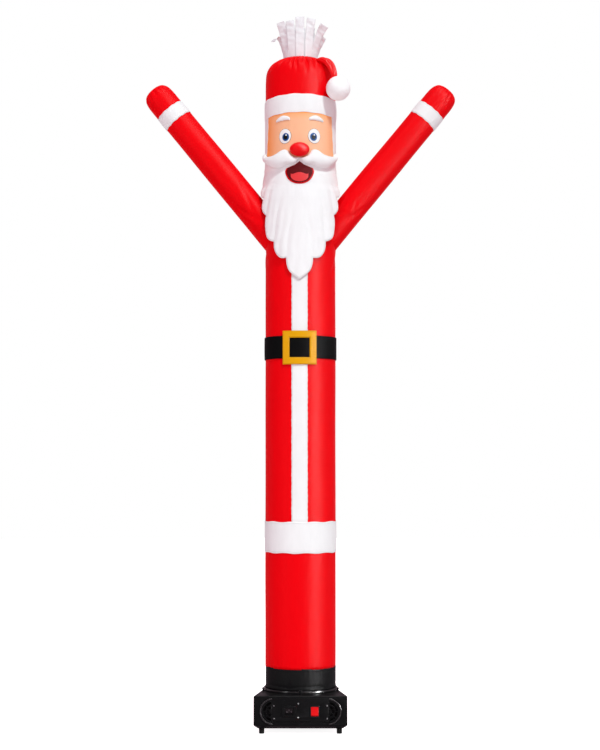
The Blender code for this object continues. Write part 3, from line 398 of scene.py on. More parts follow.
def cut_cloth(name, outline, spacing, front, thickness):
    """A piece cut to an outline of azimuths and heights and sewn on round the tube.

    front gives the height of its outer face above the tube from azimuth, height and the distance
    to the outline. The inner face lies thickness behind it.
    """
    flat = np.stack([arc(outline[:, 0]), outline[:, 1]], -1)
    rim = spaced(flat, spacing)
    low_corner, high_corner = rim.min(0), rim.max(0)
    row_step = spacing * math.sqrt(3) / 2
    rows = np.arange(1, int((high_corner[1] - low_corner[1]) / row_step) + 1)
    columns = np.arange(int((high_corner[0] - low_corner[0]) / spacing) + 2)
    row, column = np.meshgrid(rows, columns, indexing="ij")
    lattice = np.stack([low_corner[0] + (column + 0.5 * (row % 2)) * spacing,
                        low_corner[1] + row * row_step], -1).reshape(-1, 2)
    lattice = lattice[inside(lattice, rim)]
    lattice = lattice[inset_of(lattice, rim) > 0.55 * spacing]
    flat = [Vector(point) for point in np.concatenate([rim, lattice])]
    points, _, faces = geometry.delaunay_2d_cdt(flat, [], [list(range(len(rim)))], 1, 1e-7)[:3]
    points = np.array([tuple(point) for point in points])
    edge = inset_of(points, rim)
    azimuth = np.degrees(points[:, 0] / TUBE_RADIUS)
    raised = front(azimuth, points[:, 1], edge)
    place = azimuth + FRONT_AZIMUTH
    ahead = on_tube(place, TUBE_RADIUS + raised, points[:, 1])
    faces = [list(face) for face in faces]
    behind = on_tube(place, TUBE_RADIUS + raised - thickness, points[:, 1])
    count = len(points)
    back_faces = [[i + count for i in reversed(face)] for face in faces]
    sides = {(a, b) for face in faces for a, b in zip(face, face[1:] + face[:1])}
    rim_faces = [[b, a, a + count, b + count] for a, b in sides if (b, a) not in sides]
    everything = faces + back_faces + sorted(rim_faces)
    uv = np.concatenate([points, points])[np.concatenate(everything)]
    return new_object(name, np.concatenate([ahead, behind]), everything, uv,
                      np.concatenate([edge, edge]))


def rounded(inset, reach):
    """Rises from 0 at a rim to 1 at reach, as a quarter of a circle."""
    share = 1 - np.clip(inset / reach, 0.0, 1.0)
    return np.sqrt(1 - share * share)


def smooth(value, start, end):
    """Rises smoothly from 0 at start to 1 at end."""
    share = np.clip((value - start) / (end - start), 0, 1)
    return share * share * (3 - 2 * share)


def smooth_rows(rows, count):
    """The rows of a table, drawn through with a smooth curve, at evenly spaced places."""
    rows = np.array(rows, float)
    place = np.linspace(0, len(rows) - 1, count)
    index = np.minimum(place.astype(int), len(rows) - 2)
    t = (place - index)[:, None]
    before, start = rows[np.maximum(index - 1, 0)], rows[index]
    end, after = rows[index + 1], rows[np.minimum(index + 2, len(rows) - 1)]
    return 0.5 * (2 * start + (end - before) * t + (2 * before - 5 * start + 4 * end - after) * t ** 2
                  + (3 * start - before - 3 * end + after) * t ** 3)


def table_value(table, key):
    """Reads a table of rising (key, value) rows with smooth steps between the rows."""
    keys, values = np.array(table, float).T
    index = np.clip(np.searchsorted(keys, key) - 1, 0, len(keys) - 2)
    share = smooth(key, keys[index], keys[index + 1])
    return values[index] + (values[index + 1] - values[index]) * share


def settled(obj):
    """Keeps the shape that a piece's modifiers give it, in place of the modifiers."""
    shape = bpy.data.meshes.new_from_object(
        obj.evaluated_get(bpy.context.evaluated_depsgraph_get()))
    obj.modifiers.clear()
    obj.data = shape
    points = np.empty(3 * len(shape.vertices))
    shape.vertices.foreach_get("co", points)
    return points.reshape(-1, 3)


SWELL_FRAMES = 20


def inflate(obj, voxel, cap):
    """Swells a filled piece as its cloth would, each point by at most cap.

    Its skin is first made of even squares, a voxel wide.
    """
    scene = bpy.context.scene
    skin = obj.modifiers.new("skin", "REMESH")
    skin.mode = "VOXEL"
    skin.voxel_size = voxel
    even = obj.modifiers.new("even", "SMOOTH")
    even.factor = 0.5
    even.iterations = 3
    start = settled(obj)
    filling = obj.modifiers.new("filling", "CLOTH")
    filling.settings.quality = 5
    filling.settings.mass = 0.1
    filling.settings.use_pressure = True
    filling.settings.uniform_pressure_force = 4.0
    filling.settings.effector_weights.gravity = 0.0
    filling.point_cache.frame_start = 1
    filling.point_cache.frame_end = SWELL_FRAMES
    for frame_number in range(1, SWELL_FRAMES + 1):
        scene.frame_set(frame_number)
    swollen = settled(obj)
    scene.frame_set(1)
    move = swollen - start
    far = np.linalg.norm(move, axis=1, keepdims=True)
    start = start + move * np.minimum(1.0, cap / np.maximum(far, 1e-9))
    obj.data.vertices.foreach_set("co", start.ravel())
    corners = np.empty(len(obj.data.loops), int)
    obj.data.loops.foreach_get("vertex_index", corners)
    flat = np.stack([arc(np.degrees(np.arctan2(start[:, 0], -start[:, 1]))), start[:, 2]], -1)
    obj.data.uv_layers.new(name="cloth").data.foreach_set("uv", flat[corners].astype("f").ravel())
    obj.data.shade_smooth()
    finer = obj.modifiers.new("finer", "SUBSURF")
    finer.levels = finer.render_levels = 1


def stuffed(name, rings, voxel, cap):
    """A filled piece from rings of points; its first and last ring lie in one point each."""
    obj = cloth_grid(name, rings, None, None, wrap=True)
    merge_close(obj)
    inflate(obj, voxel, cap)
    return obj


def piece(obj, look, nodes=(), body=DANCER):
    """Puts a piece on its body, in place of its solids, with its finish."""
    obj.data.materials.append(finish(look))
    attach(obj, body)
    if nodes:
        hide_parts(*nodes)


# Folds of the cloth.

def uneven(turn, count, seed):
    """A wave of count gathers round a turn, uneven in width and height, from 0 to 1."""
    phase = count * turn + 1.1 * np.sin(3 * turn + seed) + 0.8 * np.sin(5 * turn + 2.3 * seed)
    tall = 0.75 + 0.25 * np.sin(2 * turn + 1.7 * seed) * np.cos(3 * turn + seed)
    return tall * (0.5 - 0.5 * np.cos(phase))


def puckers(azimuth, distance, count, depth, reach, seed):
    """Fine gathers that a seam draws into the cloth beside it."""
    fade = np.exp(-np.abs(distance) / reach)
    return -depth * settings().sizes.gathers * fade * uneven(np.radians(azimuth), count, seed)


def troughs(u, v, rows, around):
    """Soft creases: middle across and along, heading, length, width and depth of each.

    Each is slightly curved and has a low bank on one side.
    """
    total = np.zeros(np.broadcast(u, v).shape)
    for middle_u, middle_v, heading, long, wide, depth in rows:
        du = (u - middle_u + around / 2) % around - around / 2
        dv = v - middle_v
        turn = math.radians(heading)
        along = du * math.cos(turn) + dv * math.sin(turn)
        off = dv * math.cos(turn) - du * math.sin(turn) + 0.12 * along ** 2 / long
        fade = np.exp(-(2 * along / long) ** 4)
        crease = hump(off, wide) - 0.45 * hump(off - 1.7 * wide, wide)
        total -= depth * settings().sizes.creases * fade * crease
    return total


# On the unrolled tube: azimuth, height, heading, length, width, depth. The deep ones lie at the
# shoulders, and long, shallow ones above and below them.
TUBE_CREASES = (
    (92, 1.530, 62, 0.120, 0.007, 2.2 * MM), (78, 1.505, 48, 0.110, 0.008, 1.8 * MM),
    (66, 1.480, 40, 0.090, 0.008, 1.2 * MM), (108, 1.515, 118, 0.110, 0.007, 2.0 * MM),
    (124, 1.490, 132, 0.090, 0.008, 1.4 * MM), (-90, 1.530, 118, 0.110, 0.007, 1.8 * MM),
    (-76, 1.503, 132, 0.100, 0.008, 1.5 * MM), (-106, 1.515, 62, 0.110, 0.007, 1.7 * MM),
    (-122, 1.492, 48, 0.090, 0.008, 1.2 * MM), (150, 1.650, 84, 0.160, 0.010, 1.0 * MM),
    (-152, 1.640, 96, 0.150, 0.010, 1.0 * MM), (168, 0.900, 88, 0.260, 0.012, 0.8 * MM),
    (-158, 1.080, 92, 0.220, 0.012, 0.8 * MM), (38, 1.395, 80, 0.150, 0.012, 0.7 * MM),
    (-40, 1.400, 100, 0.140, 0.012, 0.6 * MM), (58, 0.470, 86, 0.200, 0.014, 0.6 * MM),
    (-62, 0.830, 94, 0.240, 0.014, 0.6 * MM), (20, 0.300, 92, 0.120, 0.010, 0.5 * MM))
# Seams that draw the tube's cloth in: height, number of gathers, depth, reach.
TUBE_SEAMS = (
    (TUBE_BOTTOM, 46, 1.8 * MM, 0.018), (HEM_BOTTOM, 40, 0.7 * MM, 0.014),
    (HEM_TOP, 40, 0.8 * MM, 0.018), (BELT_BOTTOM, 38, 0.9 * MM, 0.016),
    (BELT_TOP, 38, 0.8 * MM, 0.016), (HAT_BOTTOM, 40, 0.5 * MM, 0.012))


def tube_relief(azimuth, height):
    """How far the tube's cloth stands off its plain radius: waves, gathers, creases, back seam."""
    relief = 0.25 * MM * np.sin(2.1 * np.radians(azimuth) + 9 * height)
    relief = relief + 0.20 * MM * np.sin(3 * np.radians(azimuth) - 14 * height + 1.0)
    for number, (place, count, depth, reach) in enumerate(TUBE_SEAMS):
        relief = relief + puckers(azimuth, height - place, count, depth, reach, number)
    rows = [(arc(row[0]), *row[1:]) for row in TUBE_CREASES]
    relief = relief + troughs(arc(azimuth), height, rows, GIRTH)
    from_back = arc(wrapped(azimuth + 180))
    return relief + 0.8 * MM * (hump(from_back, 1.6 * MM) - 0.7 * hump(from_back, 6 * MM))


# Materials.

def feed(tree, node, inputs):
    """Sets a node's inputs to values, or links sockets to them."""
    for key, value in inputs.items():
        if isinstance(value, bpy.types.NodeSocket):
            tree.links.new(value, node.inputs[key])
        else:
            node.inputs[key].default_value = value


def add(tree, kind, inputs=None, **options):
    """A new shader node."""
    made = tree.nodes.new("ShaderNode" + kind)
    for key, value in options.items():
        setattr(made, key, value)
    feed(tree, made, inputs or {})
    return made


def maths(tree, operation, *values):
    """The result of an operation on values or sockets."""
    return add(tree, "Math", dict(enumerate(values)), operation=operation).outputs[0]


def times(tree, first, *others):
    """The product of values or sockets."""
    for other in others:
        first = maths(tree, "MULTIPLY", first, other)
    return first


def bell(tree, value, middle, width):
    """1 where a value is at the middle, falling to 0 beside it."""
    away = maths(tree, "DIVIDE", maths(tree, "SUBTRACT", value, middle), width)
    return maths(tree, "EXPONENT", times(tree, away, away, -1.0))


def ranged(tree, value, start, end, low_end=0.0, high_end=1.0, interpolation="LINEAR"):
    """A value of one range, brought into another."""
    inputs = {"Value": value, "From Min": start, "From Max": end, "To Min": low_end,
              "To Max": high_end}
    return add(tree, "MapRange", inputs, interpolation_type=interpolation).outputs[0]


def speckle(tree, place, scale, detail):
    """Soft noise; scale is its number of spots to the metre."""
    return add(tree, "TexNoise", {"Vector": place, "Scale": scale, "Detail": detail}).outputs[0]


def mixed(tree, share, first, second, blend="MIX"):
    """A mix of two colours, each a socket or red, green and blue."""
    first, second = (tone if isinstance(tone, bpy.types.NodeSocket) else (*tone, 1.0)
                     for tone in (first, second))
    inputs = {0: share, 6: first, 7: second}
    return add(tree, "Mix", inputs, data_type="RGBA", blend_type=blend).outputs[2]


def toned(tone, by, more=0.0):
    """A colour made darker or lighter."""
    return tuple(min(1.0, channel * by + more) for channel in tone)


def bumped(tree, height, distance, strength, before=None):
    """A relief on a surface, added to the relief before it."""
    inputs = {"Height": height, "Distance": distance, "Strength": strength}
    if before is not None:
        inputs["Normal"] = before
    return add(tree, "Bump", inputs).outputs[0]


def cloth_coordinates(tree):
    """The cloth's own coordinates: as a place, and across and along it, in metres."""
    place = add(tree, "UVMap", uv_map="cloth").outputs[0]
    split = add(tree, "SeparateXYZ", {0: place})
    return place, split.outputs[0], split.outputs[1]


def edge_distance(tree):
    """How far a point of a cloth is from the cloth's edge, in metres."""
    return add(tree, "Attribute", attribute_name="edge").outputs["Fac"]


def object_place(tree):
    """A point's place in its object."""
    return add(tree, "TexCoord").outputs["Object"]


def new_material(name, tone, roughness, metallic=0.0):
    """A material of one colour, with its node tree and its shader."""
    material = bpy.data.materials.new(name)
    material.use_nodes = True
    material.diffuse_color = (*tone, 1.0)
    tree, shader = parts_of(material)
    feed(tree, shader, {"Base Color": (*tone, 1.0), "Roughness": roughness, "Metallic": metallic})
    return material, tree, shader


def parts_of(material):
    """A material's node tree and its shader."""
    return material.node_tree, material.node_tree.nodes["Principled BSDF"]


def tinted(material, share, tone):
    """The material with another colour laid over its own; share says how much and where."""
    tree, shader = parts_of(material)
    own = shader.inputs["Base Color"].links[0].from_socket
    feed(tree, shader, {"Base Color": mixed(tree, share, own, tone)})
    return material


def cloth_material(name, tone, roughness=0.55, specular=0.05, sheen=0.0, wrinkle=0.35, shade=0.03,
                   seam=None, dashed=False):
    """Woven nylon: threads, soft wrinkles, a seam or stitches at a distance from its edge."""
    material, tree, shader = new_material(name, tone, roughness)
    sizes = settings().sizes
    place, across, along = cloth_coordinates(tree)
    threads = times(tree, *(maths(tree, "SINE", times(tree, way, math.pi / sizes.weave))
                            for way in (across, along)))
    folds = add(tree, "Mapping", {"Vector": place, "Scale": (1.0, 0.30, 1.0)}).outputs[0]
    soft = speckle(tree, folds, 46.0, 3.0)
    fine = speckle(tree, place, 380.0, 2.0)
    base = mixed(tree, soft, toned(tone, 1 - 3 * shade), tone)
    base = mixed(tree, 1.0, base, maths(tree, "MULTIPLY_ADD", threads, 0.025, 0.975), "MULTIPLY")
    normal = bumped(tree, soft, 2.0 * MM, wrinkle)
    normal = bumped(tree, fine, 0.25 * MM, 0.30, normal)
    normal = bumped(tree, threads, 0.08 * MM, 0.35, normal)
    if seam:
        line = bell(tree, edge_distance(tree), seam, 0.7 * MM)
        if dashed:
            wave = maths(tree, "SINE", times(tree, across, 2 * math.pi / sizes.stitch))
            line = times(tree, line, maths(tree, "GREATER_THAN", wave, -0.55))
        normal = bumped(tree, times(tree, line, -1.0), 0.7 * MM, 0.8, normal)
        base = mixed(tree, times(tree, line, 0.55), base, toned(tone, 0.62))
    feed(tree, shader, {
        "Base Color": base, "Normal": normal,
        "Roughness": ranged(tree, fine, 0.0, 1.0, roughness - 0.05, roughness + 0.07),
        "Specular IOR Level": specular, "Sheen Weight": sheen, "Sheen Roughness": 0.35})
    return material


def face_material():
    """Peach nylon with painted shade: deeper orange towards the sides of the face, most on the side
    towards -X, and a painted shadow under the hat band.
    """
    tones = settings().colours
    material = cloth_material("peach_nylon", tones.peach, roughness=0.6, shade=0.01)
    tree, _ = parts_of(material)
    _, across, along = cloth_coordinates(tree)

    def painted_shade(value, start, end, most):
        return times(tree, ranged(tree, value, start, end, interpolation="SMOOTHSTEP"), most)

    side = maths(tree, "SINE", maths(tree, "DIVIDE", across, TUBE_RADIUS))
    drooped = maths(tree, "MULTIPLY_ADD", times(tree, side, side), HAT_DROOP, along)
    # Painted shade: strong on the side towards -X, away from the key light, weaker towards +X, broad under
    # the hat band and deepest in a thin painted shadow along the band's drooping lower edge.
    share = painted_shade(across, -0.060, -0.140, 0.85)
    for other in (painted_shade(across, 0.075, 0.150, 0.40),
                  painted_shade(drooped, HAT_BOTTOM - 0.026, HAT_BOTTOM + 0.004, 0.50),
                  painted_shade(drooped, HAT_BOTTOM - 0.006, HAT_BOTTOM, 0.90)):
        share = maths(tree, "MAXIMUM", share, other)
    return tinted(material, share, tones.painted_shade)


def pupil_material():
    """Navy nylon, lighter towards its rim."""
    navy = settings().colours.navy
    material = cloth_material("navy_nylon", navy, roughness=0.40, specular=0.03, shade=0.0)
    tree, _ = parts_of(material)
    rim = ranged(tree, edge_distance(tree), 0.0, 4.5 * MM, 1.0, 0.0)
    return tinted(material, rim, toned(navy, 2.4))


def fleece_material(name, tone):
    """Soft brushed pile."""
    material, tree, shader = new_material(name, tone, 0.85)
    place = object_place(tree)
    pile = speckle(tree, place, 900.0, 3.0)
    lumps = add(tree, "TexVoronoi", {"Vector": place, "Scale": 190.0}).outputs[0]
    normal = bumped(tree, lumps, 1.2 * MM, 0.30)
    feed(tree, shader, {
        "Base Color": mixed(tree, pile, toned(tone, 0.94), tone),
        "Normal": bumped(tree, pile, 0.5 * MM, 0.6, normal),
        "Specular IOR Level": 0.1, "Sheen Weight": 0.15, "Sheen Roughness": 0.5})
    return material


def plastic_material(name, tone, roughness, specular, grain):
    """Moulded plastic with a fine grain, lighter by an uneven amount along its sharp edges."""
    material, tree, shader = new_material(name, tone, roughness)
    place = object_place(tree)
    smudge = speckle(tree, place, 22.0, 4.0)
    sharp_edges = ranged(tree, add(tree, "NewGeometry").outputs["Pointiness"], 0.53, 0.62)
    feed(tree, shader, {
        "Base Color": mixed(tree, times(tree, sharp_edges, smudge, 0.8), tone, toned(tone, 2.2, 0.006)),
        "Roughness": ranged(tree, smudge, 0.0, 1.0, roughness - 0.06, roughness + 0.10),
        "Normal": bumped(tree, speckle(tree, place, 1400.0, 2.0), 0.1 * MM, grain),
        "Specular IOR Level": specular})
    return material


def steel_material(name, tone):
    """Dull plated steel with fine turning marks."""
    material, tree, shader = new_material(name, tone, 0.35, metallic=1.0)
    marks = speckle(tree, object_place(tree), 2200.0, 3.0)
    feed(tree, shader, {"Base Color": mixed(tree, marks, toned(tone, 0.6), tone),
                        "Normal": bumped(tree, marks, 0.05 * MM, 0.4)})
    return material


def pins_material(name, tone, base):
    """Steel pins that stand in a black base, which lies at the back."""
    material = steel_material(name, tone)
    tree, shader = parts_of(material)
    depth = add(tree, "SeparateXYZ", {0: object_place(tree)}).outputs[1]
    pin = maths(tree, "LESS_THAN", depth, high("inlet_pins").y - 3.2 * MM)
    feed(tree, shader, {"Metallic": pin})
    return tinted(material, maths(tree, "SUBTRACT", 1.0, pin), base)


def make_materials():
    """The finishes, by the names that the pieces use.

    The numbers without a name are roughness, specular and, for plastic, grain.
    """
    tones, blower = settings().colours, settings().blower
    hem = settings().sizes.hem
    red = {"tone": tones.red, "shade": 0.02}
    white = {"tone": tones.white, "roughness": 0.6, "specular": 0.02, "sheen": 0.1}
    return {
        "red": cloth_material("red_nylon", **red, roughness=0.42, specular=0.018),
        "red_soft": cloth_material("red_padded_nylon", **red, roughness=0.34, specular=0.09),
        "white": cloth_material("white_nylon", **white),
        "white_band": cloth_material("white_hemmed_nylon", **white, seam=hem, dashed=True),
        "white_fine": cloth_material("white_fine_band", **white, seam=0.5 * hem, dashed=True),
        "beard": cloth_material("white_beard_nylon", **white, wrinkle=0.45, seam=0.7 * hem),
        "stuffed": cloth_material("white_stuffed_nylon", **white, wrinkle=0.5),
        "streamers": cloth_material("white_streamer_nylon", tones.streamer, 0.5, 0.03, wrinkle=0.7),
        "black": cloth_material("black_nylon", tones.black, 0.48, 0.010, seam=hem, dashed=True),
        "cuff": cloth_material("black_coated_nylon", tones.cuff, 0.48, 0.024, wrinkle=0.6),
        "gold": cloth_material("gold_nylon", tones.gold, 0.38, 0.03, wrinkle=0.15, seam=3.0 * MM,
                               dashed=True),
        "peach": face_material(),
        "pupil": pupil_material(),
        "pupil_middle": cloth_material("black_pupil_nylon", tones.black, 0.4, 0.03),
        "line": cloth_material("brown_line_nylon", tones.line, 0.6, 0.02),
        "lips": cloth_material("lip_nylon", tones.lips, 0.42, 0.03, shade=0.02),
        "mouth": cloth_material("dark_mouth_nylon", tones.mouth, 0.6, 0.02, shade=0.02),
        "tongue": cloth_material("tongue_nylon", tones.tongue, 0.40, 0.04, shade=0.02),
        "fleece": fleece_material("white_fleece", tones.fleece),
        "shell": plastic_material("black_shell", blower.shell, 0.36, 0.035, 0.30),
        "gloss": plastic_material("black_gloss", blower.gloss, 0.18, 0.32, 0.04),
        "bezel": plastic_material("black_bezel", blower.gloss, 0.25, 0.55, 0.04),
        "rocker": plastic_material("red_rocker", blower.rocker, 0.22, 0.12, 0.05),
        "rubber": plastic_material("black_rubber", blower.rubber, 0.75, 0.03, 0.4),
        "steel": steel_material("dull_steel", blower.steel),
        "pins": pins_material("inlet_pins_steel", blower.steel, blower.shell),
    }


MATERIALS = {}


def finish(name):
    """The material of a finish. All are made when the first one is asked for."""
    if not MATERIALS:
        MATERIALS.update(make_materials())
    return MATERIALS[name]


# The tube and its arms.

def make_body_tube():
    """The tall tube, creased at the shoulders and drawn in at its seams."""
    azimuth, share = ring_grid(columns=144, rows=220)
    a = azimuth[None, :-1]
    height = TUBE_BOTTOM + (TUBE_TOP - TUBE_BOTTOM) * share
    points = on_tube(a, TUBE_RADIUS + tube_relief(a, height) - 0.2 * MM, height)
    tube = cloth_grid("body_tube_cloth", points, arc(azimuth)[None], height, wrap=True)
    thicken(tube, settings().sizes.cloth)
    piece(tube, "red", ["body_tube", "chest_tube"])


DRAWSTRING_RISE = 0.012  # height of the drawstring above the cuff's lower edge


def make_cuff():
    """The black sleeve that a drawstring holds on the outlet."""
    azimuth, share = ring_grid(columns=144, rows=40)
    a = azimuth[None, :-1]
    height = CUFF_BOTTOM + (TUBE_BOTTOM + 2 * MM - CUFF_BOTTOM) * share
    rise = height - CUFF_BOTTOM
    relief = puckers(a, rise - DRAWSTRING_RISE, count=44, depth=1.0 * MM, reach=0.008, seed=2.0)
    relief = relief + puckers(a, height - TUBE_BOTTOM, count=46, depth=1.1 * MM, reach=0.014, seed=0.0)
    turn = np.radians(a)
    relief = relief + 1.0 * MM * np.sin(5 * turn + 0.4) + 0.25 * MM * np.sin(11 * turn + 1.0)
    draw = -0.9 * MM * hump(rise - DRAWSTRING_RISE, 3 * MM)
    lower_hem = 0.6 * MM * hump(rise - 3 * MM, 3 * MM)
    upper_hem = 0.9 * MM * hump(height - TUBE_BOTTOM + 4 * MM, 1.6 * MM)
    points = on_tube(a, TUBE_RADIUS - 1.1 * MM + relief + draw + lower_hem + upper_hem, height)
    cuff = cloth_grid("cuff_cloth", points, arc(azimuth)[None], height, wrap=True)
    thicken(cuff, settings().sizes.cloth)
    piece(cuff, "cuff", ["cuff"])


def plain_radius(along):
    """An arm's radius, which shrinks a little towards its end."""
    return ARM_RADIUS - ARM_TAPER * along / ARM_LENGTH


def arm_points(side, turn, radius, along):
    """Points round an arm; turn 0 is its lower, outer side."""
    tilt = math.radians(ARM_TILT)
    across = radius * np.cos(turn)
    x = side * (along * math.sin(tilt) + across * math.cos(tilt))
    y = side * radius * np.sin(turn)
    z = SHOULDER_Z + along * math.cos(tilt) - across * math.sin(tilt)
    return np.stack(np.broadcast_arrays(x, y, z), -1)


def arm_root(turn):
    """Where, along an arm, its skin leaves the tube."""
    tilt = math.radians(ARM_TILT)
    reach = np.sqrt(TUBE_RADIUS ** 2 - (ARM_RADIUS * np.sin(turn)) ** 2)
    return (reach - ARM_RADIUS * np.cos(turn) * math.cos(tilt)) / math.sin(tilt)


# On each unrolled arm: turn in degrees, place along, heading, length, width, depth.
ARM_CREASES = {
    "r": ((-90, 0.205, 60, 0.090, 0.007, 1.3 * MM), (-62, 0.235, 72, 0.080, 0.007, 1.2 * MM),
          (-118, 0.255, 105, 0.090, 0.008, 1.3 * MM), (-80, 0.300, 84, 0.080, 0.007, 1.1 * MM),
          (-40, 0.290, 62, 0.070, 0.007, 0.9 * MM), (-140, 0.330, 98, 0.090, 0.008, 0.8 * MM),
          (-104, 0.222, 40, 0.050, 0.006, 1.1 * MM), (-74, 0.262, 118, 0.050, 0.006, 1.1 * MM),
          (-96, 0.345, 70, 0.060, 0.007, 0.8 * MM), (-58, 0.335, 105, 0.060, 0.007, 0.8 * MM),
          (-70, 0.390, 78, 0.090, 0.009, 0.6 * MM), (60, 0.250, 70, 0.140, 0.009, 1.8 * MM),
          (110, 0.290, 110, 0.140, 0.009, 1.8 * MM), (85, 0.400, 88, 0.130, 0.010, 1.0 * MM),
          (-95, 0.520, 86, 0.160, 0.012, 0.5 * MM), (150, 0.480, 92, 0.140, 0.012, 0.8 * MM)),
    "l": ((-90, 0.210, 118, 0.110, 0.009, 1.6 * MM), (-118, 0.240, 100, 0.120, 0.009, 1.6 * MM),
          (-64, 0.260, 76, 0.110, 0.009, 1.4 * MM), (-96, 0.330, 88, 0.120, 0.009, 1.1 * MM),
          (-130, 0.360, 96, 0.110, 0.010, 0.9 * MM), (60, 0.250, 110, 0.140, 0.009, 1.8 * MM),
          (100, 0.280, 72, 0.140, 0.009, 1.7 * MM), (80, 0.410, 92, 0.130, 0.010, 0.9 * MM),
          (-85, 0.520, 94, 0.160, 0.012, 0.6 * MM), (145, 0.470, 88, 0.140, 0.012, 0.8 * MM)),
}


def arm_relief(turn, along, suffix):
    """Creases at the shoulder, and puckers at its seam and along the sleeve band."""
    rows = [(math.radians(row[0]) * ARM_RADIUS, *row[1:]) for row in ARM_CREASES[suffix]]
    relief = troughs(turn * ARM_RADIUS, along, rows, ARM_GIRTH)
    azimuth = np.degrees(turn)
    for place in (SLEEVE_START, SLEEVE_START + SLEEVE_WIDTH):
        relief = relief + puckers(azimuth, along - place, count=22, depth=0.9 * MM, reach=0.012,
                                  seed=3.0 + place)
    from_root = along - arm_root(turn)
    relief = relief + puckers(azimuth, from_root, count=20, depth=1.3 * MM, reach=0.014, seed=5.0)
    return relief + 0.25 * MM * np.sin(2 * turn + 20 * along)


HAND_ROUNDNESS = 3.4  # 2 would be a ball; more is a blunter end


def hand_share(along):
    """How the arm narrows towards its closed end."""
    share = np.clip((along - HAND_START) / (ARM_LENGTH - HAND_START), 0, 1)
    return (1 - share ** HAND_ROUNDNESS) ** (1 / HAND_ROUNDNESS)


# Pleats of a hand's closed end: turn, lower end along the arm, half width in degrees, depth.
HAND_PLEATS = (
    (-168, 0.728, 6, 4.0 * MM), (-142, 0.722, 7, 5.0 * MM), (-121, 0.732, 5, 3.4 * MM),
    (-103, 0.718, 7, 5.6 * MM), (-84, 0.728, 6, 4.0 * MM), (-67, 0.716, 7, 5.6 * MM),
    (-46, 0.730, 6, 4.0 * MM), (-22, 0.724, 7, 4.6 * MM), (6, 0.728, 6, 4.0 * MM),
    (33, 0.720, 7, 5.0 * MM), (58, 0.730, 6, 4.0 * MM), (84, 0.720, 7, 5.0 * MM),
    (109, 0.728, 6, 4.0 * MM), (137, 0.720, 7, 5.0 * MM), (163, 0.730, 6, 4.0 * MM))
HAND_PLEATS_DEEPEST = 0.752  # how far along the arm the pleats have their full depth
HAND_DIMPLE = 3.0 * MM


def hand_pull(turn, along):
    """How far the pleats draw a hand's cloth in."""
    pull = 0
    for place, lower, half, depth in HAND_PLEATS:
        fold = groove(wrapped(np.degrees(turn) - place), half, sharp=1.4, bank=0.30, reach=2.4)
        pull = pull + depth * smooth(along, lower, HAND_PLEATS_DEEPEST) * fold
    return pull * settings().sizes.gathers


def make_arm(side, suffix):
    """An arm from its seam on the tube to its closed end, where its rows lie closer."""
    azimuth, share = ring_grid(columns=132, rows=190)
    turn = np.radians(azimuth)
    t = turn[None, :-1]
    share = share + 0.22 * np.sin(math.pi * share) * share
    root = arm_root(t) - 0.5 * MM
    along = root + (ARM_LENGTH - 0.2 * MM - root) * share
    relief = arm_relief(t, along, suffix) - hand_pull(t, along)
    radius = np.maximum(hand_share(along) * (plain_radius(along) + relief), 0)
    radius[-1] = 0
    along[-1] = ARM_LENGTH - HAND_DIMPLE
    full_root = np.append(root, root[:, :1], 1)
    v = full_root + (ARM_LENGTH - full_root) * share
    points = arm_points(side, t, radius, along)
    arm = cloth_grid(f"arm_{suffix}_cloth", points, turn[None] * ARM_RADIUS, v, wrap=True)
    merge_close(arm)
    thicken(arm, settings().sizes.cloth)
    piece(arm, "red", ["arm_" + suffix])


def make_sleeve_band(side, suffix):
    """The white band near an arm's end."""
    azimuth, share = ring_grid(columns=96, rows=26)
    turn = np.radians(azimuth)
    t = turn[None, :-1]
    wave = 0.7 * MM * np.sin(11 * t + 1)
    along = SLEEVE_START + SLEEVE_WIDTH * share + wave * (2 * share - 1) ** 4
    puff = 0.7 * MM * np.sin(math.pi * share) ** 0.5
    edge = to_edge(share, SLEEVE_WIDTH)
    relief = puckers(azimuth[None, :-1], edge, count=22, depth=0.6 * MM, reach=0.008, seed=4.0)
    points = arm_points(side, t, plain_radius(along) + 1.1 * MM + puff + relief, along)
    band = cloth_grid(f"sleeve_band_{suffix}_cloth", points, turn[None] * ARM_RADIUS,
                      SLEEVE_WIDTH * share, wrap=True, edge=np.broadcast_to(edge, along.shape))
    thicken(band, settings().sizes.cloth)
    piece(band, "white_fine", ["sleeve_band_" + suffix])


# The coat's trim.

def make_band(node, bottom, top, look, waves, wave, puff, seat, droop=0.0):
    """A band sewn round the tube, with wavy edges that sit a little lower at its sides."""
    azimuth, share = ring_grid(columns=180, rows=34)
    a = azimuth[None, :-1]
    width = top - bottom - 2 * wave
    lift = wave * np.sin(np.radians(waves * a) + 4 * share) * (2 * share - 1) ** 4
    height = bottom + wave + width * share + lift - droop * np.sin(np.radians(a)) ** 2
    edge = to_edge(share, width)
    seed = 1 + 300 * puff  # gives each band gathers of its own
    relief = puckers(a, edge, count=40, depth=0.5 * MM, reach=0.010, seed=seed)
    full = puff * np.sin(math.pi * share) ** 0.6
    ripple = 0.3 * MM * np.sin(np.radians(9 * a)) * np.sin(math.pi * share)
    points = on_tube(a, TUBE_RADIUS + seat + relief + full + ripple, height)
    band = cloth_grid(node + "_cloth", points, arc(azimuth)[None], width * share, wrap=True,
                      edge=np.broadcast_to(edge, height.shape))
    thicken(band, settings().sizes.cloth)
    piece(band, look, [node])


PLACKET_RIPPLE = 0.0175  # length of the waves of its edges


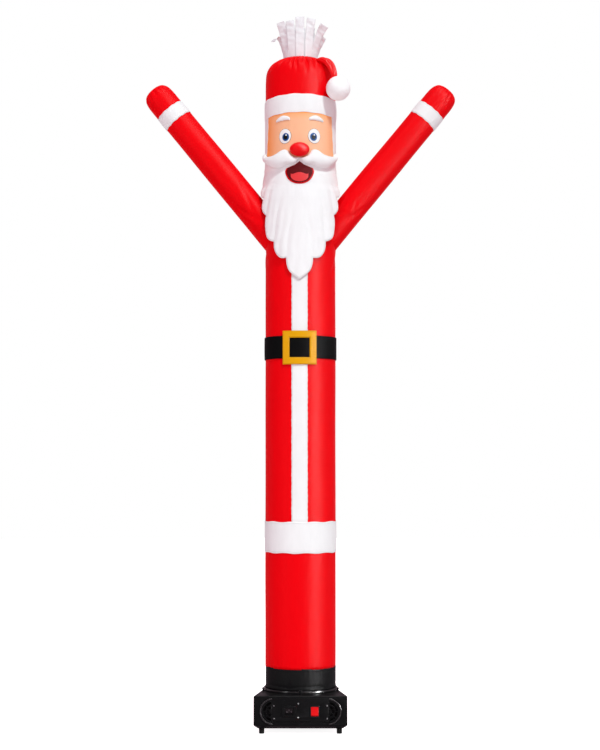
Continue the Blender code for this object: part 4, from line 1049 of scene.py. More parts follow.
def make_placket():
    """The white strip down the front, tucked under the hem band at its lower end."""
    rows, columns = 420, 26
    bottom = HEM_TOP - 5 * MM
    height = np.linspace(bottom, PLACKET_TOP, rows)[:, None]
    ripple = 2 * math.pi * (height - bottom) / PLACKET_RIPPLE
    left = -PLACKET_WIDTH / 2 + 0.40 * MM * np.sin(ripple) + 0.35 * MM * np.sin(0.31 * ripple)
    right = PLACKET_WIDTH / 2 + 0.40 * MM * np.sin(ripple + 1.4) + 0.35 * MM * np.sin(0.27 * ripple)
    share = np.linspace(0, 1, columns)[None]
    across = left + (right - left) * share
    azimuth = FRONT_AZIMUTH + np.degrees(across / TUBE_RADIUS)
    edge = np.minimum(across - left, right - across)
    raised = SEWN - 0.9 * MM + 0.9 * MM * rounded(edge, 2.0 * MM)
    raised = raised + 0.25 * MM * np.sin(60 * height) * np.sin(math.pi * share)
    raised = raised - 1.0 * MM * (1 - smooth(height, HEM_TOP - 1 * MM, HEM_TOP + 6 * MM))
    points = on_tube(azimuth, TUBE_RADIUS + raised, np.broadcast_to(height, azimuth.shape))
    placket = cloth_grid("placket_cloth", points, across, height, edge=edge)
    thicken(placket, settings().sizes.cloth)
    piece(placket, "white_fine", ["placket"])


def make_belt():
    """The black band round the waist."""
    azimuth, share = ring_grid(columns=180, rows=26)
    a = azimuth[None, :-1]
    height = BELT_BOTTOM + (BELT_TOP - BELT_BOTTOM) * share
    edge = to_edge(share, BELT_TOP - BELT_BOTTOM)
    relief = puckers(a, edge, count=30, depth=0.5 * MM, reach=0.012, seed=2.0)
    relief = relief + 0.9 * MM * rounded(edge, 2.5 * MM)
    relief = relief + 0.25 * MM * np.sin(np.radians(7 * a)) * np.sin(math.pi * share)
    points = on_tube(a, TUBE_RADIUS + BELT_SEAT + relief, height)
    belt = cloth_grid("belt_cloth", points, arc(azimuth)[None], height - BELT_BOTTOM, wrap=True,
                      edge=np.broadcast_to(edge, relief.shape))
    thicken(belt, settings().sizes.cloth)
    piece(belt, "black", ["belt"])


def make_buckle():
    """A square frame of stiffened cloth with a rounded face, folded at its corners."""
    outer, inner = BUCKLE_SIDE / 2, BUCKLE_OPENING / 2
    half = np.linspace(outer, inner, 22)
    edge = np.minimum(half - inner, outer - half)
    lift = BUCKLE_SEAT + 3.2 * MM * rounded(edge, 4.0 * MM)
    sections = []
    for side in range(4):
        for share in np.linspace(-1, 1, 40, endpoint=False):
            across, up = ((share, -1), (1, share), (-share, 1), (-1, -share))[side]
            azimuth = np.degrees(across * half / TUBE_RADIUS) + FRONT_AZIMUTH
            sections.append(on_tube(azimuth, TUBE_RADIUS + lift, BUCKLE_MIDDLE + up * half))
    points = np.stack(sections, 1)
    around = np.linspace(0, 4 * (inner + outer), len(sections) + 1)[None]
    edge = np.broadcast_to(edge[:, None], points.shape[:2])
    buckle = cloth_grid("buckle_cloth", points, around, (outer - half)[:, None], wrap=True, edge=edge)
    thicken(buckle, 1.2 * MM)
    piece(buckle, "gold", ["buckle"])
    side = 2 * outer


# The hat.

CROWN_ROWS = (  # radius, height, from the band up
    (0.1145, 2.0100), (0.1147, 2.0400), (0.1148, 2.0750), (0.1143, 2.1050), (0.1118, 2.1290),
    (0.1015, 2.1495), (0.0810, 2.1660), (0.0590, 2.1765))
PLEATS = (  # azimuth, lower end, half width in degrees, depth
    (-49, 2.128, 2.6, 3.0 * MM), (-39, 2.118, 2.8, 3.6 * MM), (-26, 2.134, 2.2, 3.0 * MM),
    (-15, 2.108, 2.4, 6.0 * MM), (-7, 2.100, 2.6, 5.0 * MM), (2, 2.132, 2.2, 3.0 * MM),
    (13, 2.094, 2.6, 7.0 * MM), (26, 2.112, 2.4, 5.2 * MM), (36, 2.120, 2.6, 5.0 * MM),
    (47, 2.116, 2.8, 5.4 * MM), (61, 2.124, 2.6, 4.0 * MM), (77, 2.108, 2.8, 4.6 * MM),
    (90, 2.126, 2.4, 3.6 * MM), (104, 2.112, 2.8, 4.4 * MM), (121, 2.120, 2.6, 4.0 * MM),
    (137, 2.104, 2.8, 5.0 * MM), (151, 2.124, 2.4, 3.6 * MM), (168, 2.110, 2.8, 4.6 * MM),
    (-174, 2.122, 2.4, 3.8 * MM), (-158, 2.106, 2.8, 4.8 * MM), (-143, 2.124, 2.4, 3.6 * MM),
    (-128, 2.112, 2.8, 4.4 * MM), (-113, 2.120, 2.6, 4.0 * MM), (-97, 2.108, 2.8, 4.6 * MM),
    (-81, 2.122, 2.4, 3.6 * MM), (-65, 2.114, 2.8, 4.2 * MM))
PLEAT_TOP = 2.158  # height at which the pleats have their full depth
PLEAT_FACTOR = 1.9  # for the depths of them all


def make_crown():
    """The crown, with pleats where its cloth is drawn in, which flatten on the vent's ring."""
    azimuth, share = ring_grid(columns=360, rows=80)
    profile = smooth_rows(CROWN_ROWS, len(share))
    a = azimuth[None, :-1]
    radius, height = profile[:, :1], profile[:, 1:]
    slope = np.gradient(profile, axis=0)
    slope /= np.linalg.norm(slope, axis=1, keepdims=True)
    flatter = 1 - 0.85 * smooth(height, VENT_BOTTOM + 2 * MM, CROWN_ROWS[-1][1])
    fine = uneven(np.radians(a), count=31, seed=4.0)
    pull = 0.6 * MM * smooth(height, 2.09, PLEAT_TOP) * flatter * fine
    for place, lower, half, depth in PLEATS:
        line = place + 60 * (PLEAT_TOP - height) * math.sin(2.3 * place)  # runs a little askew
        fade = smooth(height, lower, PLEAT_TOP) ** 1.3 * flatter
        fold = groove(wrapped(a - line), half, sharp=1.3, bank=0.35, reach=2.6)
        pull = pull + PLEAT_FACTOR * depth * settings().sizes.gathers * fade * fold
    points = on_tube(a, radius - pull * slope[:, 1:], height + pull * slope[:, :1])
    along = np.append(0, np.cumsum(np.hypot(*np.diff(profile, axis=0).T)))[:, None]
    crown = cloth_grid("hat_crown_cloth", points, arc(azimuth)[None], along, wrap=True)
    thicken(crown, settings().sizes.cloth)
    piece(crown, "red", ["hat_crown"])


TIP_ROWS = (  # azimuth, radius, height, width, thickness
    (42.0, 0.0700, 2.1560, 0.018, 0.004), (43.0, 0.0870, 2.1590, 0.030, 0.014),
    (44.5, 0.1060, 2.1585, 0.037, 0.021), (46.0, 0.1225, 2.1500, 0.038, 0.024),
    (47.5, 0.1335, 2.1355, 0.035, 0.024), (48.6, 0.1405, 2.1185, 0.030, 0.021),
    (49.3, 0.1445, 2.1040, 0.024, 0.017), (49.6, 0.1450, 2.0920, 0.014, 0.010))
TIP_CREASES = (  # turn, how it drifts along the tip, half width, all in degrees; depth as a share
    (95, 30, 15, 0.30), (140, 12, 12, 0.34), (178, -10, 14, 0.30), (235, 15, 16, 0.20),
    (310, -20, 16, 0.20), (30, 10, 14, 0.22))


def make_tip():
    """The crown's soft point, folded over to the side, with creases drawn towards the pompom."""
    rows, sides = 90, 96
    azimuth, radius, height, width, thickness = smooth_rows(TIP_ROWS, rows).T
    middle = on_tube(azimuth, radius, height)
    forward = np.gradient(middle, axis=0)
    forward /= np.linalg.norm(forward, axis=1, keepdims=True)
    across = on_tube(azimuth + 90, 1.0, 0.0)
    outward = np.cross(forward, across)
    turn = full_turn(sides)
    share = np.linspace(0, 1, rows)[:, None]
    crease = np.ones((rows, sides))
    for place, drift, half, depth in TIP_CREASES:
        away = wrapped(np.degrees(turn)[None] - place - drift * (share - 0.5))
        crease -= depth * hump(away, half) * smooth(share, 0.05, 0.45)
    points = (middle[:, None] + across[:, None] * (width[:, None] / 2 * np.cos(turn) * crease)[..., None]
              + outward[:, None] * (thickness[:, None] / 2 * np.sin(turn) * crease)[..., None])
    ends = np.repeat(middle[[0, -1], None], sides, 1)
    points = np.concatenate([ends[:1], points, ends[1:]])
    tip = stuffed("hat_tip_cloth", points[:, ::-1], voxel=1.8 * MM, cap=2.0 * MM)
    piece(tip, "red_soft", ["hat_tip"])


def make_pompom():
    """A ball of brushed fleece with small tufts."""
    shape = bmesh.new()
    bmesh.ops.create_icosphere(shape, subdivisions=6, radius=1.0)
    for vert in shape.verts:
        place = vert.co.copy()
        lumps = noise.noise(place * 2.2) * 0.020 + noise.noise(place * 7.0) * 0.014
        tufts = noise.noise(place * 26.0) * 0.012 + noise.noise(place * 60.0) * 0.008
        vert.co = POMPOM_PLACE + place * POMPOM_RADIUS * (0.985 + lumps + tufts)
    pompom = from_shape("pompom_fleece", shape)
    piece(pompom, "fleece", ["pompom"])


STREAMERS = (  # azimuth, height, lean outwards, lean to the side, turn of the strip, curl
    (-57, 0.115, 0.012, -0.009, 34, 0.000), (-30, 0.116, 0.003, -0.006, 12, 0.000),
    (-2, 0.126, 0.004, 0.000, 0, 0.000), (29, 0.121, 0.012, 0.002, -8, 0.000),
    (57, 0.105, 0.032, 0.004, -38, 0.002), (86, 0.074, 0.020, 0.000, -40, 0.000),
    (116, 0.112, 0.014, 0.004, -10, 0.000), (146, 0.117, 0.008, 0.000, 12, 0.000),
    (175, 0.119, 0.004, 0.003, -8, 0.000), (-153, 0.116, 0.010, -0.003, 10, 0.000),
    (-122, 0.112, 0.012, 0.000, -14, 0.000), (-82, 0.104, 0.034, 0.000, 26, 0.024))
STREAMER_WIDTH = 0.0295


def make_streamers():
    """Strips of thin cloth that stand in the vent, on one narrow ring.

    Each starts curved along the ring and grows flat and crinkled above it.
    """
    rows, columns = 48, 11
    half = STREAMER_WIDTH / 2
    crinkle = settings().sizes.streamer_crinkle
    share = np.linspace(0, 1, rows)[:, None]
    side = np.linspace(-1, 1, columns)[None]
    free = smooth(share, 0.0, 0.35)[..., None]
    points, faces, uv = [], [], []
    for number, (azimuth, height, lean, sideways, turned, curl) in enumerate(STREAMERS):
        layer = 0.45 * MM * (-1) ** number
        rise = share * height - curl * np.maximum(0, share - 0.55) ** 2 * 10
        facing = np.radians(azimuth + turned * share)
        along = np.stack([np.cos(facing), np.sin(facing), 0 * facing], -1)
        ahead = np.stack([np.sin(facing), -np.cos(facing), 0 * facing], -1)
        wide = half * (1.0 + 0.05 * share * np.cos(9 * share + number))
        wave = np.sin(19 * share + 2.3 * number) * np.sin(1.9 * side + 7 * share + number)
        cup = (side ** 2 - 0.4) * np.sin(4 * share + number)
        off = crinkle * share ** 0.7 * (1.4 * wave + 1.8 * cup + 0.5 * np.sin(43 * share + side))
        place = on_tube(azimuth, VENT_RADIUS + layer + lean * share ** 2.2, VENT_TOP + rise)
        path = place + along * (sideways * share ** 2)[..., None]
        way = np.gradient(path, axis=0)
        way /= np.linalg.norm(way, axis=-1, keepdims=True)
        across = along - (along * way).sum(-1, keepdims=True) * way
        across /= np.linalg.norm(across, axis=-1, keepdims=True)
        flat = path + across * (wide * side)[..., None] + ahead * off[..., None]
        on_ring = azimuth + np.degrees(half * side / VENT_RADIUS)
        curved = on_tube(on_ring, VENT_RADIUS + layer, VENT_TOP + rise)
        strip = curved * (1 - free) + flat * free
        root = on_tube(on_ring, VENT_RADIUS, VENT_BOTTOM)
        strip = np.concatenate([root, strip])
        first = sum(len(p) for p in points)
        points.append(strip.reshape(-1, 3))
        for row in range(rows):
            for column in range(columns - 1):
                corner = row * columns + column
                face = [corner, corner + 1, corner + columns + 1, corner + columns]
                faces.append([first + index for index in face])
                uv += [(index % columns * 2.9 * MM + number * 50 * MM, index // columns * 2.6 * MM)
                       for index in face]
    streamers = new_object("streamer_strips", np.concatenate(points), faces, uv)
    thicken(streamers, 0.5 * MM)
    piece(streamers, "streamers", ["streamers"])


# The face and the beard.

BEARD_BOTTOM = 1.441
BEARD_EDGE = (  # height, how far the beard's edge stands off the tube
    (BEARD_BOTTOM, 7.5 * MM), (1.500, 9.0 * MM), (1.550, 12.5 * MM), (1.590, 15.5 * MM),
    (1.650, 17.0 * MM), (1.680, 19.5 * MM), (1.730, 19.0 * MM), (1.755, 11.0 * MM),
    (1.800, 4.0 * MM), (1.820, 1.7 * MM), (1.835, 1.3 * MM))
BEARD_MIDDLE = (  # height, how far the beard's middle stands off the tube
    (BEARD_BOTTOM, 7.0 * MM), (1.500, 7.0 * MM), (1.600, 6.2 * MM), (1.700, 5.2 * MM),
    (1.750, 2.8 * MM), (1.800, 1.3 * MM), (1.835, 1.3 * MM))
BEARD_SPREAD = (  # height, the azimuth that the beard's edge reaches
    (1.439, 12.0), (1.500, 25.0), (1.520, 40.0), (1.565, 47.0), (1.600, 59.0), (1.650, 61.0),
    (1.700, 68.0), (1.730, 74.0), (1.755, 79.0), (1.800, 84.0), (1.835, 86.0))
# Each runs from a notch of the edge up and inwards: azimuth and height of its lower and its
# upper end, half width in degrees, depth.
BEARD_FOLDS = (
    (-20.8, 1.508, -9.0, 1.700, 4.6, 4.6 * MM), (-42.0, 1.563, -27.0, 1.745, 5.2, 5.6 * MM),
    (-58.0, 1.651, -44.0, 1.765, 5.0, 5.0 * MM), (-65.0, 1.708, -57.0, 1.775, 4.5, 3.2 * MM),
    (-32.0, 1.515, -21.0, 1.700, 4.0, 3.2 * MM), (-50.0, 1.590, -38.0, 1.720, 4.0, 3.0 * MM),
    (-8.0, 1.455, -3.0, 1.620, 4.4, 2.4 * MM), (8.0, 1.470, 7.0, 1.600, 5.0, 1.8 * MM),
    (20.8, 1.508, 13.0, 1.680, 4.6, 3.8 * MM), (31.0, 1.520, 25.0, 1.670, 4.4, 3.0 * MM),
    (42.0, 1.563, 31.0, 1.725, 5.2, 5.2 * MM), (58.0, 1.651, 46.0, 1.760, 5.0, 5.0 * MM),
    (65.0, 1.708, 58.0, 1.775, 4.5, 3.4 * MM))
HAIR_OUTER = 86.0
BEARD_TIERS = (  # start, control and end of each lobe of the edge: azimuth and height
    ((0.0, 1.439), (6.5, 1.447), (13.0, 1.459)), ((13.0, 1.459), (20.0, 1.472), (20.8, 1.508)),
    ((20.8, 1.508), (39.5, 1.500), (42.0, 1.563)), ((42.0, 1.563), (63.5, 1.573), (58.0, 1.651)),
    ((58.0, 1.651), (71.5, 1.675), (63.0, 1.710)), ((63.0, 1.710), (71.5, 1.709), (73.0, 1.728)),
    ((73.0, 1.728), (77.0, 1.770), (HAIR_OUTER, 1.830)))
FACE_BOTTOM = 1.834
FACE_AZIMUTH = 72.0
HAIR_INNER = (  # azimuth and height of the hair's wavy inner edge, from the hat down
    (62.0, 1.9900), (63.5, 1.9700), (63.0, 1.9500), (65.0, 1.9300), (64.8, 1.9100), (67.0, 1.8900),
    (67.2, 1.8700), (70.0, 1.8500), (72.4, 1.8320))


def beard_height(azimuth, height, inset):
    """How far the beard's front stands off the tube: soft folds that run down and together."""
    middle = table_value(BEARD_MIDDLE, height)
    edge = table_value(BEARD_EDGE, height)
    share = np.clip(azimuth / table_value(BEARD_SPREAD, height), -1.1, 1.1)
    folds = np.zeros(np.shape(share))
    for low_azimuth, bottom, high_azimuth, top, half, depth in BEARD_FOLDS:
        way = (height - bottom) / (top - bottom)
        line = low_azimuth + (high_azimuth - low_azimuth) * np.clip(way, -0.2, 1.2)
        away = azimuth - line - 1.2 * np.sin(40 * height + low_azimuth)
        fade = smooth(way, -0.15, 0.10) * (1 - smooth(way, 0.45, 1.0))
        folds = folds - depth * fade * groove(away, half, sharp=1.6, bank=0.45, reach=2.4)
    rim = 2.0 * MM * rounded(inset, 8 * MM) * smooth(1.800 - height, 0.0, 0.02)
    return middle + (edge - middle) * share ** 2 + folds + 0.9 * MM + rim


def make_beard():
    """The beard with its tiers, in one cloth with the strips of hair beside the face."""
    half = [bend(*tier) for tier in BEARD_TIERS]
    top = HAT_BOTTOM - 0.5 * MM
    inner = smooth_rows(HAIR_INNER, 30)
    inner_top, inner_bottom = HAIR_INNER[0][1], HAIR_INNER[-1][1]
    inner[:, 1] = np.interp(inner[:, 1], (inner_bottom, inner_top), (inner_bottom, top))
    half += [np.array([(HAIR_OUTER, FACE_BOTTOM + 2 * MM), (HAIR_OUTER, top)]), inner,
             np.array([(0.0, FACE_BOTTOM - 2 * MM)])]
    outline = both_sides(np.concatenate(half))
    beard = cut_cloth("beard_cloth", outline, spacing=3.0 * MM, front=beard_height,
                      thickness=1.3 * MM)
    piece(beard, "beard", ["beard"])


MOUSTACHE_ROWS = (  # azimuth, bottom and top height, how far its front stands out
    (0.0, 1.8275, 1.8318, 5 * MM), (6.0, 1.8160, 1.8328, 10 * MM), (11.0, 1.8090, 1.8375, 15 * MM),
    (15.5, 1.8065, 1.8470, 18 * MM), (20.0, 1.8045, 1.8585, 20 * MM), (27.0, 1.8010, 1.8600, 22 * MM),
    (36.5, 1.7984, 1.8500, 23 * MM), (46.0, 1.8035, 1.8450, 22 * MM), (54.0, 1.8110, 1.8440, 20 * MM),
    (61.0, 1.8190, 1.8455, 17 * MM), (67.0, 1.8265, 1.8525, 15 * MM), (71.5, 1.8330, 1.8590, 12 * MM),
    (75.0, 1.8400, 1.8580, 6 * MM))
MOUSTACHE_BACK = 4.4 * MM


def make_moustache():
    """Two stuffed lobes that meet under the nose, with soft hollows where the filling is quilted."""
    sections, sides = 150, 44
    right = np.array(MOUSTACHE_ROWS)
    table = smooth_rows(np.concatenate([right[:0:-1] * (-1, 1, 1, 1), right]), sections)
    azimuth, bottom, top, front = table.T
    turn = full_turn(sides)
    out = np.maximum(np.cos(turn), -0.12)[None]
    up = np.sin(turn)[None]
    below = np.maximum(-up, 0)
    quilt = np.radians(18 * np.abs(azimuth) + 40)[:, None]
    lobe = 1 - 0.10 * np.maximum(np.cos(quilt), 0) ** 2 * below
    lobe = lobe - 0.05 * np.cos(np.radians(17 * azimuth) + 1)[:, None] * np.maximum(up, 0)
    radius = TUBE_RADIUS + MOUSTACHE_BACK + (front[:, None] - 0.8 * MM) * out * lobe
    wave = 1.3 * MM * np.cos(quilt) * below
    height = (bottom + top)[:, None] / 2 + ((top - bottom)[:, None] / 2 - 0.5 * MM) * up + wave
    points = on_tube(azimuth[:, None] + FRONT_AZIMUTH, radius, height)
    ends = np.repeat(points[[0, -1]].mean(1, keepdims=True), sides, 1)
    points = np.concatenate([ends[:1], points, ends[1:]])
    moustache = stuffed("moustache_cloth", points, voxel=2.6 * MM, cap=3.0 * MM)
    piece(moustache, "stuffed", ["moustache"])


def make_face_panel():
    """The peach panel, which ends out of sight under the hat, the hair and the beard."""
    top = HAT_BOTTOM + 0.012
    outline = np.array([(-FACE_AZIMUTH, FACE_BOTTOM), (FACE_AZIMUTH, FACE_BOTTOM),
                        (FACE_AZIMUTH, top), (-FACE_AZIMUTH, top)])

    def front(azimuth, height, inset):
        return PANEL_SEAT + 0.25 * MM * np.sin(50 * height) * np.sin(np.radians(6 * azimuth))

    panel = cut_cloth("face_panel_cloth", outline, spacing=3.2 * MM, front=front,
                      thickness=0.8 * MM)
    piece(panel, "peach", ["face_panel"])


EYE_AZIMUTH = 24.0
EYE_Z = 1.903
# Half widths and half heights of the ovals of an eye.
EYE_HALF = (0.0205, 0.0235)
EYE_LINE = 0.9 * MM
PUPIL_HALF = (0.0115, 0.0130)
PUPIL_MIDDLE_HALF = (0.0065, 0.0072)
GLINT_HALF = (0.0024, 0.0024)


def sewn_oval(name, azimuth, height, half, seat, thickness, puff=0.0):
    """An oval sewn on over the face, its middle raised by puff."""
    def front(azimuth, height, inset):
        return seat + puff * rounded(inset, min(half))

    return cut_cloth(name, oval(azimuth, height, *half), 1.2 * MM, front, thickness)


def make_eye(side, suffix):
    """An eye on its thin line, and a pupil with a dark middle and a glint."""
    azimuth = side * EYE_AZIMUTH
    line_half = tuple(half + EYE_LINE for half in EYE_HALF)
    line = sewn_oval(f"eye_line_{suffix}", azimuth, EYE_Z, line_half, EYE_SEAT - 0.4 * MM, 0.4 * MM)
    piece(line, "line")
    white = sewn_oval(f"eye_{suffix}_cloth", azimuth, EYE_Z, EYE_HALF, EYE_SEAT, 0.6 * MM,
                      puff=0.6 * MM)
    piece(white, "white", ["eye_" + suffix])
    at, height = side * (EYE_AZIMUTH - 1.5), EYE_Z - 3.0 * MM  # a little inwards and down
    pupil = sewn_oval(f"pupil_{suffix}_cloth", at, height, PUPIL_HALF, PUPIL_SEAT, 0.6 * MM,
                      puff=0.4 * MM)
    piece(pupil, "pupil", ["pupil_" + suffix])
    middle = sewn_oval(f"pupil_middle_{suffix}", at, height - 0.5 * MM, PUPIL_MIDDLE_HALF,
                       PUPIL_SEAT + 0.7 * MM, 0.4 * MM)
    piece(middle, "pupil_middle")
    glint = sewn_oval(f"pupil_glint_{suffix}", at + 1.0, height + 6.0 * MM, GLINT_HALF,
                      PUPIL_SEAT + 1.0 * MM, 0.4 * MM)
    piece(glint, "white")


BROW_SPAN = (15.0, 41.0)
BROW_Z = 1.954
BROW_RISE = 8.5 * MM
BROW_HALF_HEIGHT = 8.6 * MM


def make_brow(side, suffix):
    """A stuffed brow, arched and narrower at its ends."""
    share = np.linspace(0, 1, 25)
    azimuth = side * (BROW_SPAN[0] + (BROW_SPAN[1] - BROW_SPAN[0]) * share)
    middle = BROW_Z + BROW_RISE * np.sin(math.pi * (0.15 + 0.85 * share))
    half = BROW_HALF_HEIGHT * np.sin(math.pi * (0.12 + 0.80 * share)) ** 0.7
    lower = np.stack([azimuth, middle - half], -1)
    upper = np.stack([azimuth, middle + half], -1)
    outline = np.concatenate([lower, upper[::-1]])

    def front(azimuth, height, inset):
        return EYE_SEAT - 0.6 * MM + 5.0 * MM * rounded(inset, BROW_HALF_HEIGHT)

    brow = cut_cloth(f"brow_{suffix}_cloth", outline, spacing=1.3 * MM, front=front,
                     thickness=2.0 * MM)
    inflate(brow, voxel=1.3 * MM, cap=1.2 * MM)
    piece(brow, "stuffed", ["brow_" + suffix])


NOSE_HALF = (0.03104, 0.022795)
NOSE_DEPTH = 31.0 * MM
NOSE_Z = 1.857


def make_nose():
    """A stuffed ball, slightly flattened, gathered where it is sewn to the face."""
    rows, columns = 56, 96
    turn = full_turn(columns)
    share = np.linspace(0, 1, rows)[:, None]
    rise = np.sin(share * math.pi / 2) ** 0.9
    inward = np.cos(share * math.pi / 2) ** 0.9
    gather = 1 - 0.025 * (0.5 - 0.5 * np.cos(18 * turn + 0.6 * np.sin(3 * turn))) * (1 - share) ** 3
    bulge = 1 + 0.05 * np.sin(math.pi * np.minimum(share * 1.6, 1.0))
    across = NOSE_HALF[0] * inward * gather * bulge * np.cos(turn)
    height = NOSE_Z + NOSE_HALF[1] * inward * gather * bulge * np.sin(turn)
    back = TUBE_RADIUS + EYE_SEAT
    front = back + NOSE_DEPTH * rise
    azimuth = np.degrees(across / (TUBE_RADIUS + 0.6 * (front - back)))
    points = on_tube(azimuth + FRONT_AZIMUTH, front, height)
    closed = np.broadcast_to(on_tube(FRONT_AZIMUTH, back, NOSE_Z), points[:1].shape)
    points = np.concatenate([closed, points])
    nose = stuffed("nose_cloth", points, voxel=1.8 * MM, cap=1.5 * MM)
    piece(nose, "red_soft", ["nose"])


MOUTH_CORNER = (23.0, 1.788)  # azimuth and height
MOUTH_BOTTOM = ((0.0, 1.746), (19.0, 1.747), MOUTH_CORNER)
MOUTH_TOP = (MOUTH_CORNER, (21.5, 1.7975), (13.5, 1.804), (6.5, 1.8095), (0.0, 1.820))
MOUTH_DRAWN_TO = 1.790  # the height towards which the hollow's lower rim is drawn up
TONGUE_HALF = 13.5  # half its width, in degrees
TONGUE_BOTTOM = 1.7535
TONGUE_TOP = 1.780


def mouth_outline(drop, narrow):
    """The mouth's outline, narrowed, and its lower rim drawn up by a share of its drop."""
    half = np.concatenate([bend(*MOUTH_BOTTOM), np.array(MOUTH_TOP)])
    half[:, 0] *= narrow
    half[:, 1] += drop * np.maximum(MOUTH_DRAWN_TO - half[:, 1], 0)
    return both_sides(half)


def on_beard(name, outline, seat, thickness):
    """A cloth cut to an outline and sewn on over the beard, its front raised by seat."""
    def front(azimuth, height, inset):
        return beard_height(azimuth, height, 1.0) + seat

    return cut_cloth(name, outline, 1.6 * MM, front, thickness)


def make_mouth():
    """The red rim with the dark hollow and the tongue on it."""
    rim = mouth_outline(drop=0.0, narrow=1.0)
    lips = on_beard("mouth_rim_cloth", rim, seat=1.6 * MM, thickness=0.8 * MM)
    piece(lips, "lips", ["mouth"])
    opening = mouth_outline(drop=0.09, narrow=0.90)
    hollow = on_beard("mouth_hollow", opening, seat=2.2 * MM, thickness=0.5 * MM)
    piece(hollow, "mouth")
    turn = np.linspace(-1, 1, 41)
    across = TONGUE_HALF * np.sin(turn * math.pi / 2)
    lower = np.stack([across, TONGUE_BOTTOM + 0.021 * (1 - np.cos(1.45 * turn))], -1)
    upper = np.stack([-across, TONGUE_TOP + 3.5 * MM * np.cos(4.5 * turn) * (1 - turn ** 2)], -1)
    outline = np.concatenate([lower, upper[1:-1]])
    tongue = on_beard("tongue_cloth", outline, seat=2.9 * MM, thickness=0.5 * MM)
    piece(tongue, "tongue")


# The blower.

HARD_NODES = {  # finish: its slot, and its nodes with the widths of their rounded edges in mm
    "shell": ("black_plastic", (
        ("housing", 1.8), ("control_plate", 0.6), ("power_inlet", 0.7), ("outlet_collar", 0.4),
        ("flange_clip", 0.5), ("grille_l", 0.4), ("grille_r", 0.4), ("lug_l", 0.4), ("lug_r", 0.4))),
    "gloss": ("gloss_plastic", (("flange_ring", 1.0), ("switch_bezel", 0.7))),
    "bezel": ("gloss_plastic", (("bezel_l", 1.2), ("bezel_r", 1.2))),
    "rubber": ("rubber", tuple((f"foot_{end}_{side}", 0.8) for end in ("front", "back") for side in "lr")),
    "steel": ("screw_steel", tuple((f"plate_screw_{n}", 0.4) for n in range(1, 7))),
    "pins": ("screw_steel", (("inlet_pins", 0.2),)),
    "rocker": ("red_plastic", (("switch_rocker", 0.7),)),
}


def soften(node, width, look):
    """A hard piece with rounded edges, in place of its solid."""
    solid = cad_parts[node]
    obj = linked(node + "_finished", solid.data.copy())
    obj.matrix_world = solid.matrix_world.copy()
    obj.data.materials.clear()
    weld = obj.modifiers.new("weld", "WELD")
    weld.merge_threshold = 0.01 * MM
    bevel = obj.modifiers.new("edges", "BEVEL")
    bevel.width = width * MM
    bevel.segments = 3
    bevel.limit_method = "ANGLE"
    bevel.angle_limit = math.radians(35)
    bevel.harden_normals = True
    obj.data.shade_smooth()
    body = SWITCH if node == "switch_rocker" else DANCER
    piece(obj, look, [node], body)


def make_blower():
    """All the hard pieces."""
    for look, (slot, rows) in HARD_NODES.items():
        for node, width in rows:
            soften(node, width, look)


# The stage.

def aimed_light(name, kind, place, target):
    """A light that looks at a point."""
    light = linked(name, bpy.data.lights.new(name, kind))
    light.location = place
    light.rotation_euler = (Vector(target) - Vector(place)).to_track_quat("-Z", "Y").to_euler()
    light.visible_camera = False
    return light


def make_floor():
    """A wide pale floor. It looks whiter than it lights, as a paper sweep does."""
    stage = settings().stage
    shape = bmesh.new()
    bmesh.ops.create_circle(shape, cap_ends=True, segments=96, radius=12.0)
    floor = from_shape("floor", shape)
    material, tree, shader = new_material("pale_floor", stage.floor, 0.9)
    seen = add(tree, "LightPath").outputs["Is Camera Ray"]
    feed(tree, shader, {"Specular IOR Level": 0.0, "Emission Color": (1, 1, 1, 1),
                        "Emission Strength": times(tree, seen, stage.floor_glow)})
    floor.data.materials.append(material)
    floor.visible_glossy = False


def make_world():
    """A plain white backdrop, dimmer and tinted as a light."""
    stage = settings().stage
    world = bpy.data.worlds.new("studio")
    world.cycles.sampling_method = "NONE"
    bpy.context.scene.world = world
    world.use_nodes = True
    tree = world.node_tree
    seen = add(tree, "LightPath").outputs["Is Camera Ray"]
    feed(tree, tree.nodes["Background"], {"Color": mixed(tree, seen, stage.ambient, (1, 1, 1))})


PICTURE_HEIGHT = 750


def make_camera():
    """The camera in front of the dancer, moved half a pixel sideways."""
    stage = settings().stage
    data = bpy.data.cameras.new("camera")
    data.lens = stage.lens
    data.sensor_width = 36.0
    data.shift_x = -0.5 / PICTURE_HEIGHT
    data.clip_end = 100.0
    camera = linked("camera", data)
    camera.location = (0, -stage.camera_distance, stage.camera_height)
    camera.rotation_euler = (math.radians(90) + stage.camera_tilt, 0, 0)
    bpy.context.scene.camera = camera


MIDDLE = (0, 0, 1.2)
# Name, place, target, width, height, spread in degrees, the setting of its power, a share of that.
AREA_LIGHTS = (
    ("strip_light", (2.42, -1.96, 1.35), MIDDLE, 0.55, 3.0, 44, "strip", 1.0),
    ("soft_light", (2.10, -2.70, 3.90), (0, 0, 1.75), 1.2, 1.2, 180, "soft", 1.0),
    ("left_strip_light", (-2.60, -2.10, 1.35), MIDDLE, 0.40, 3.0, 180, "strip", 0.5),
    ("top_light", (0.25, -0.95, 4.30), (0, 0, 1.90), 1.8, 0.9, 180, "top", 1.0),
    ("fill_light", (-1.80, -3.90, 1.90), MIDDLE, 3.0, 3.0, 180, "fill", 1.0),
    ("back_light", (0.80, 4.20, 2.40), MIDDLE, 3.0, 3.0, 180, "fill", 1.0))


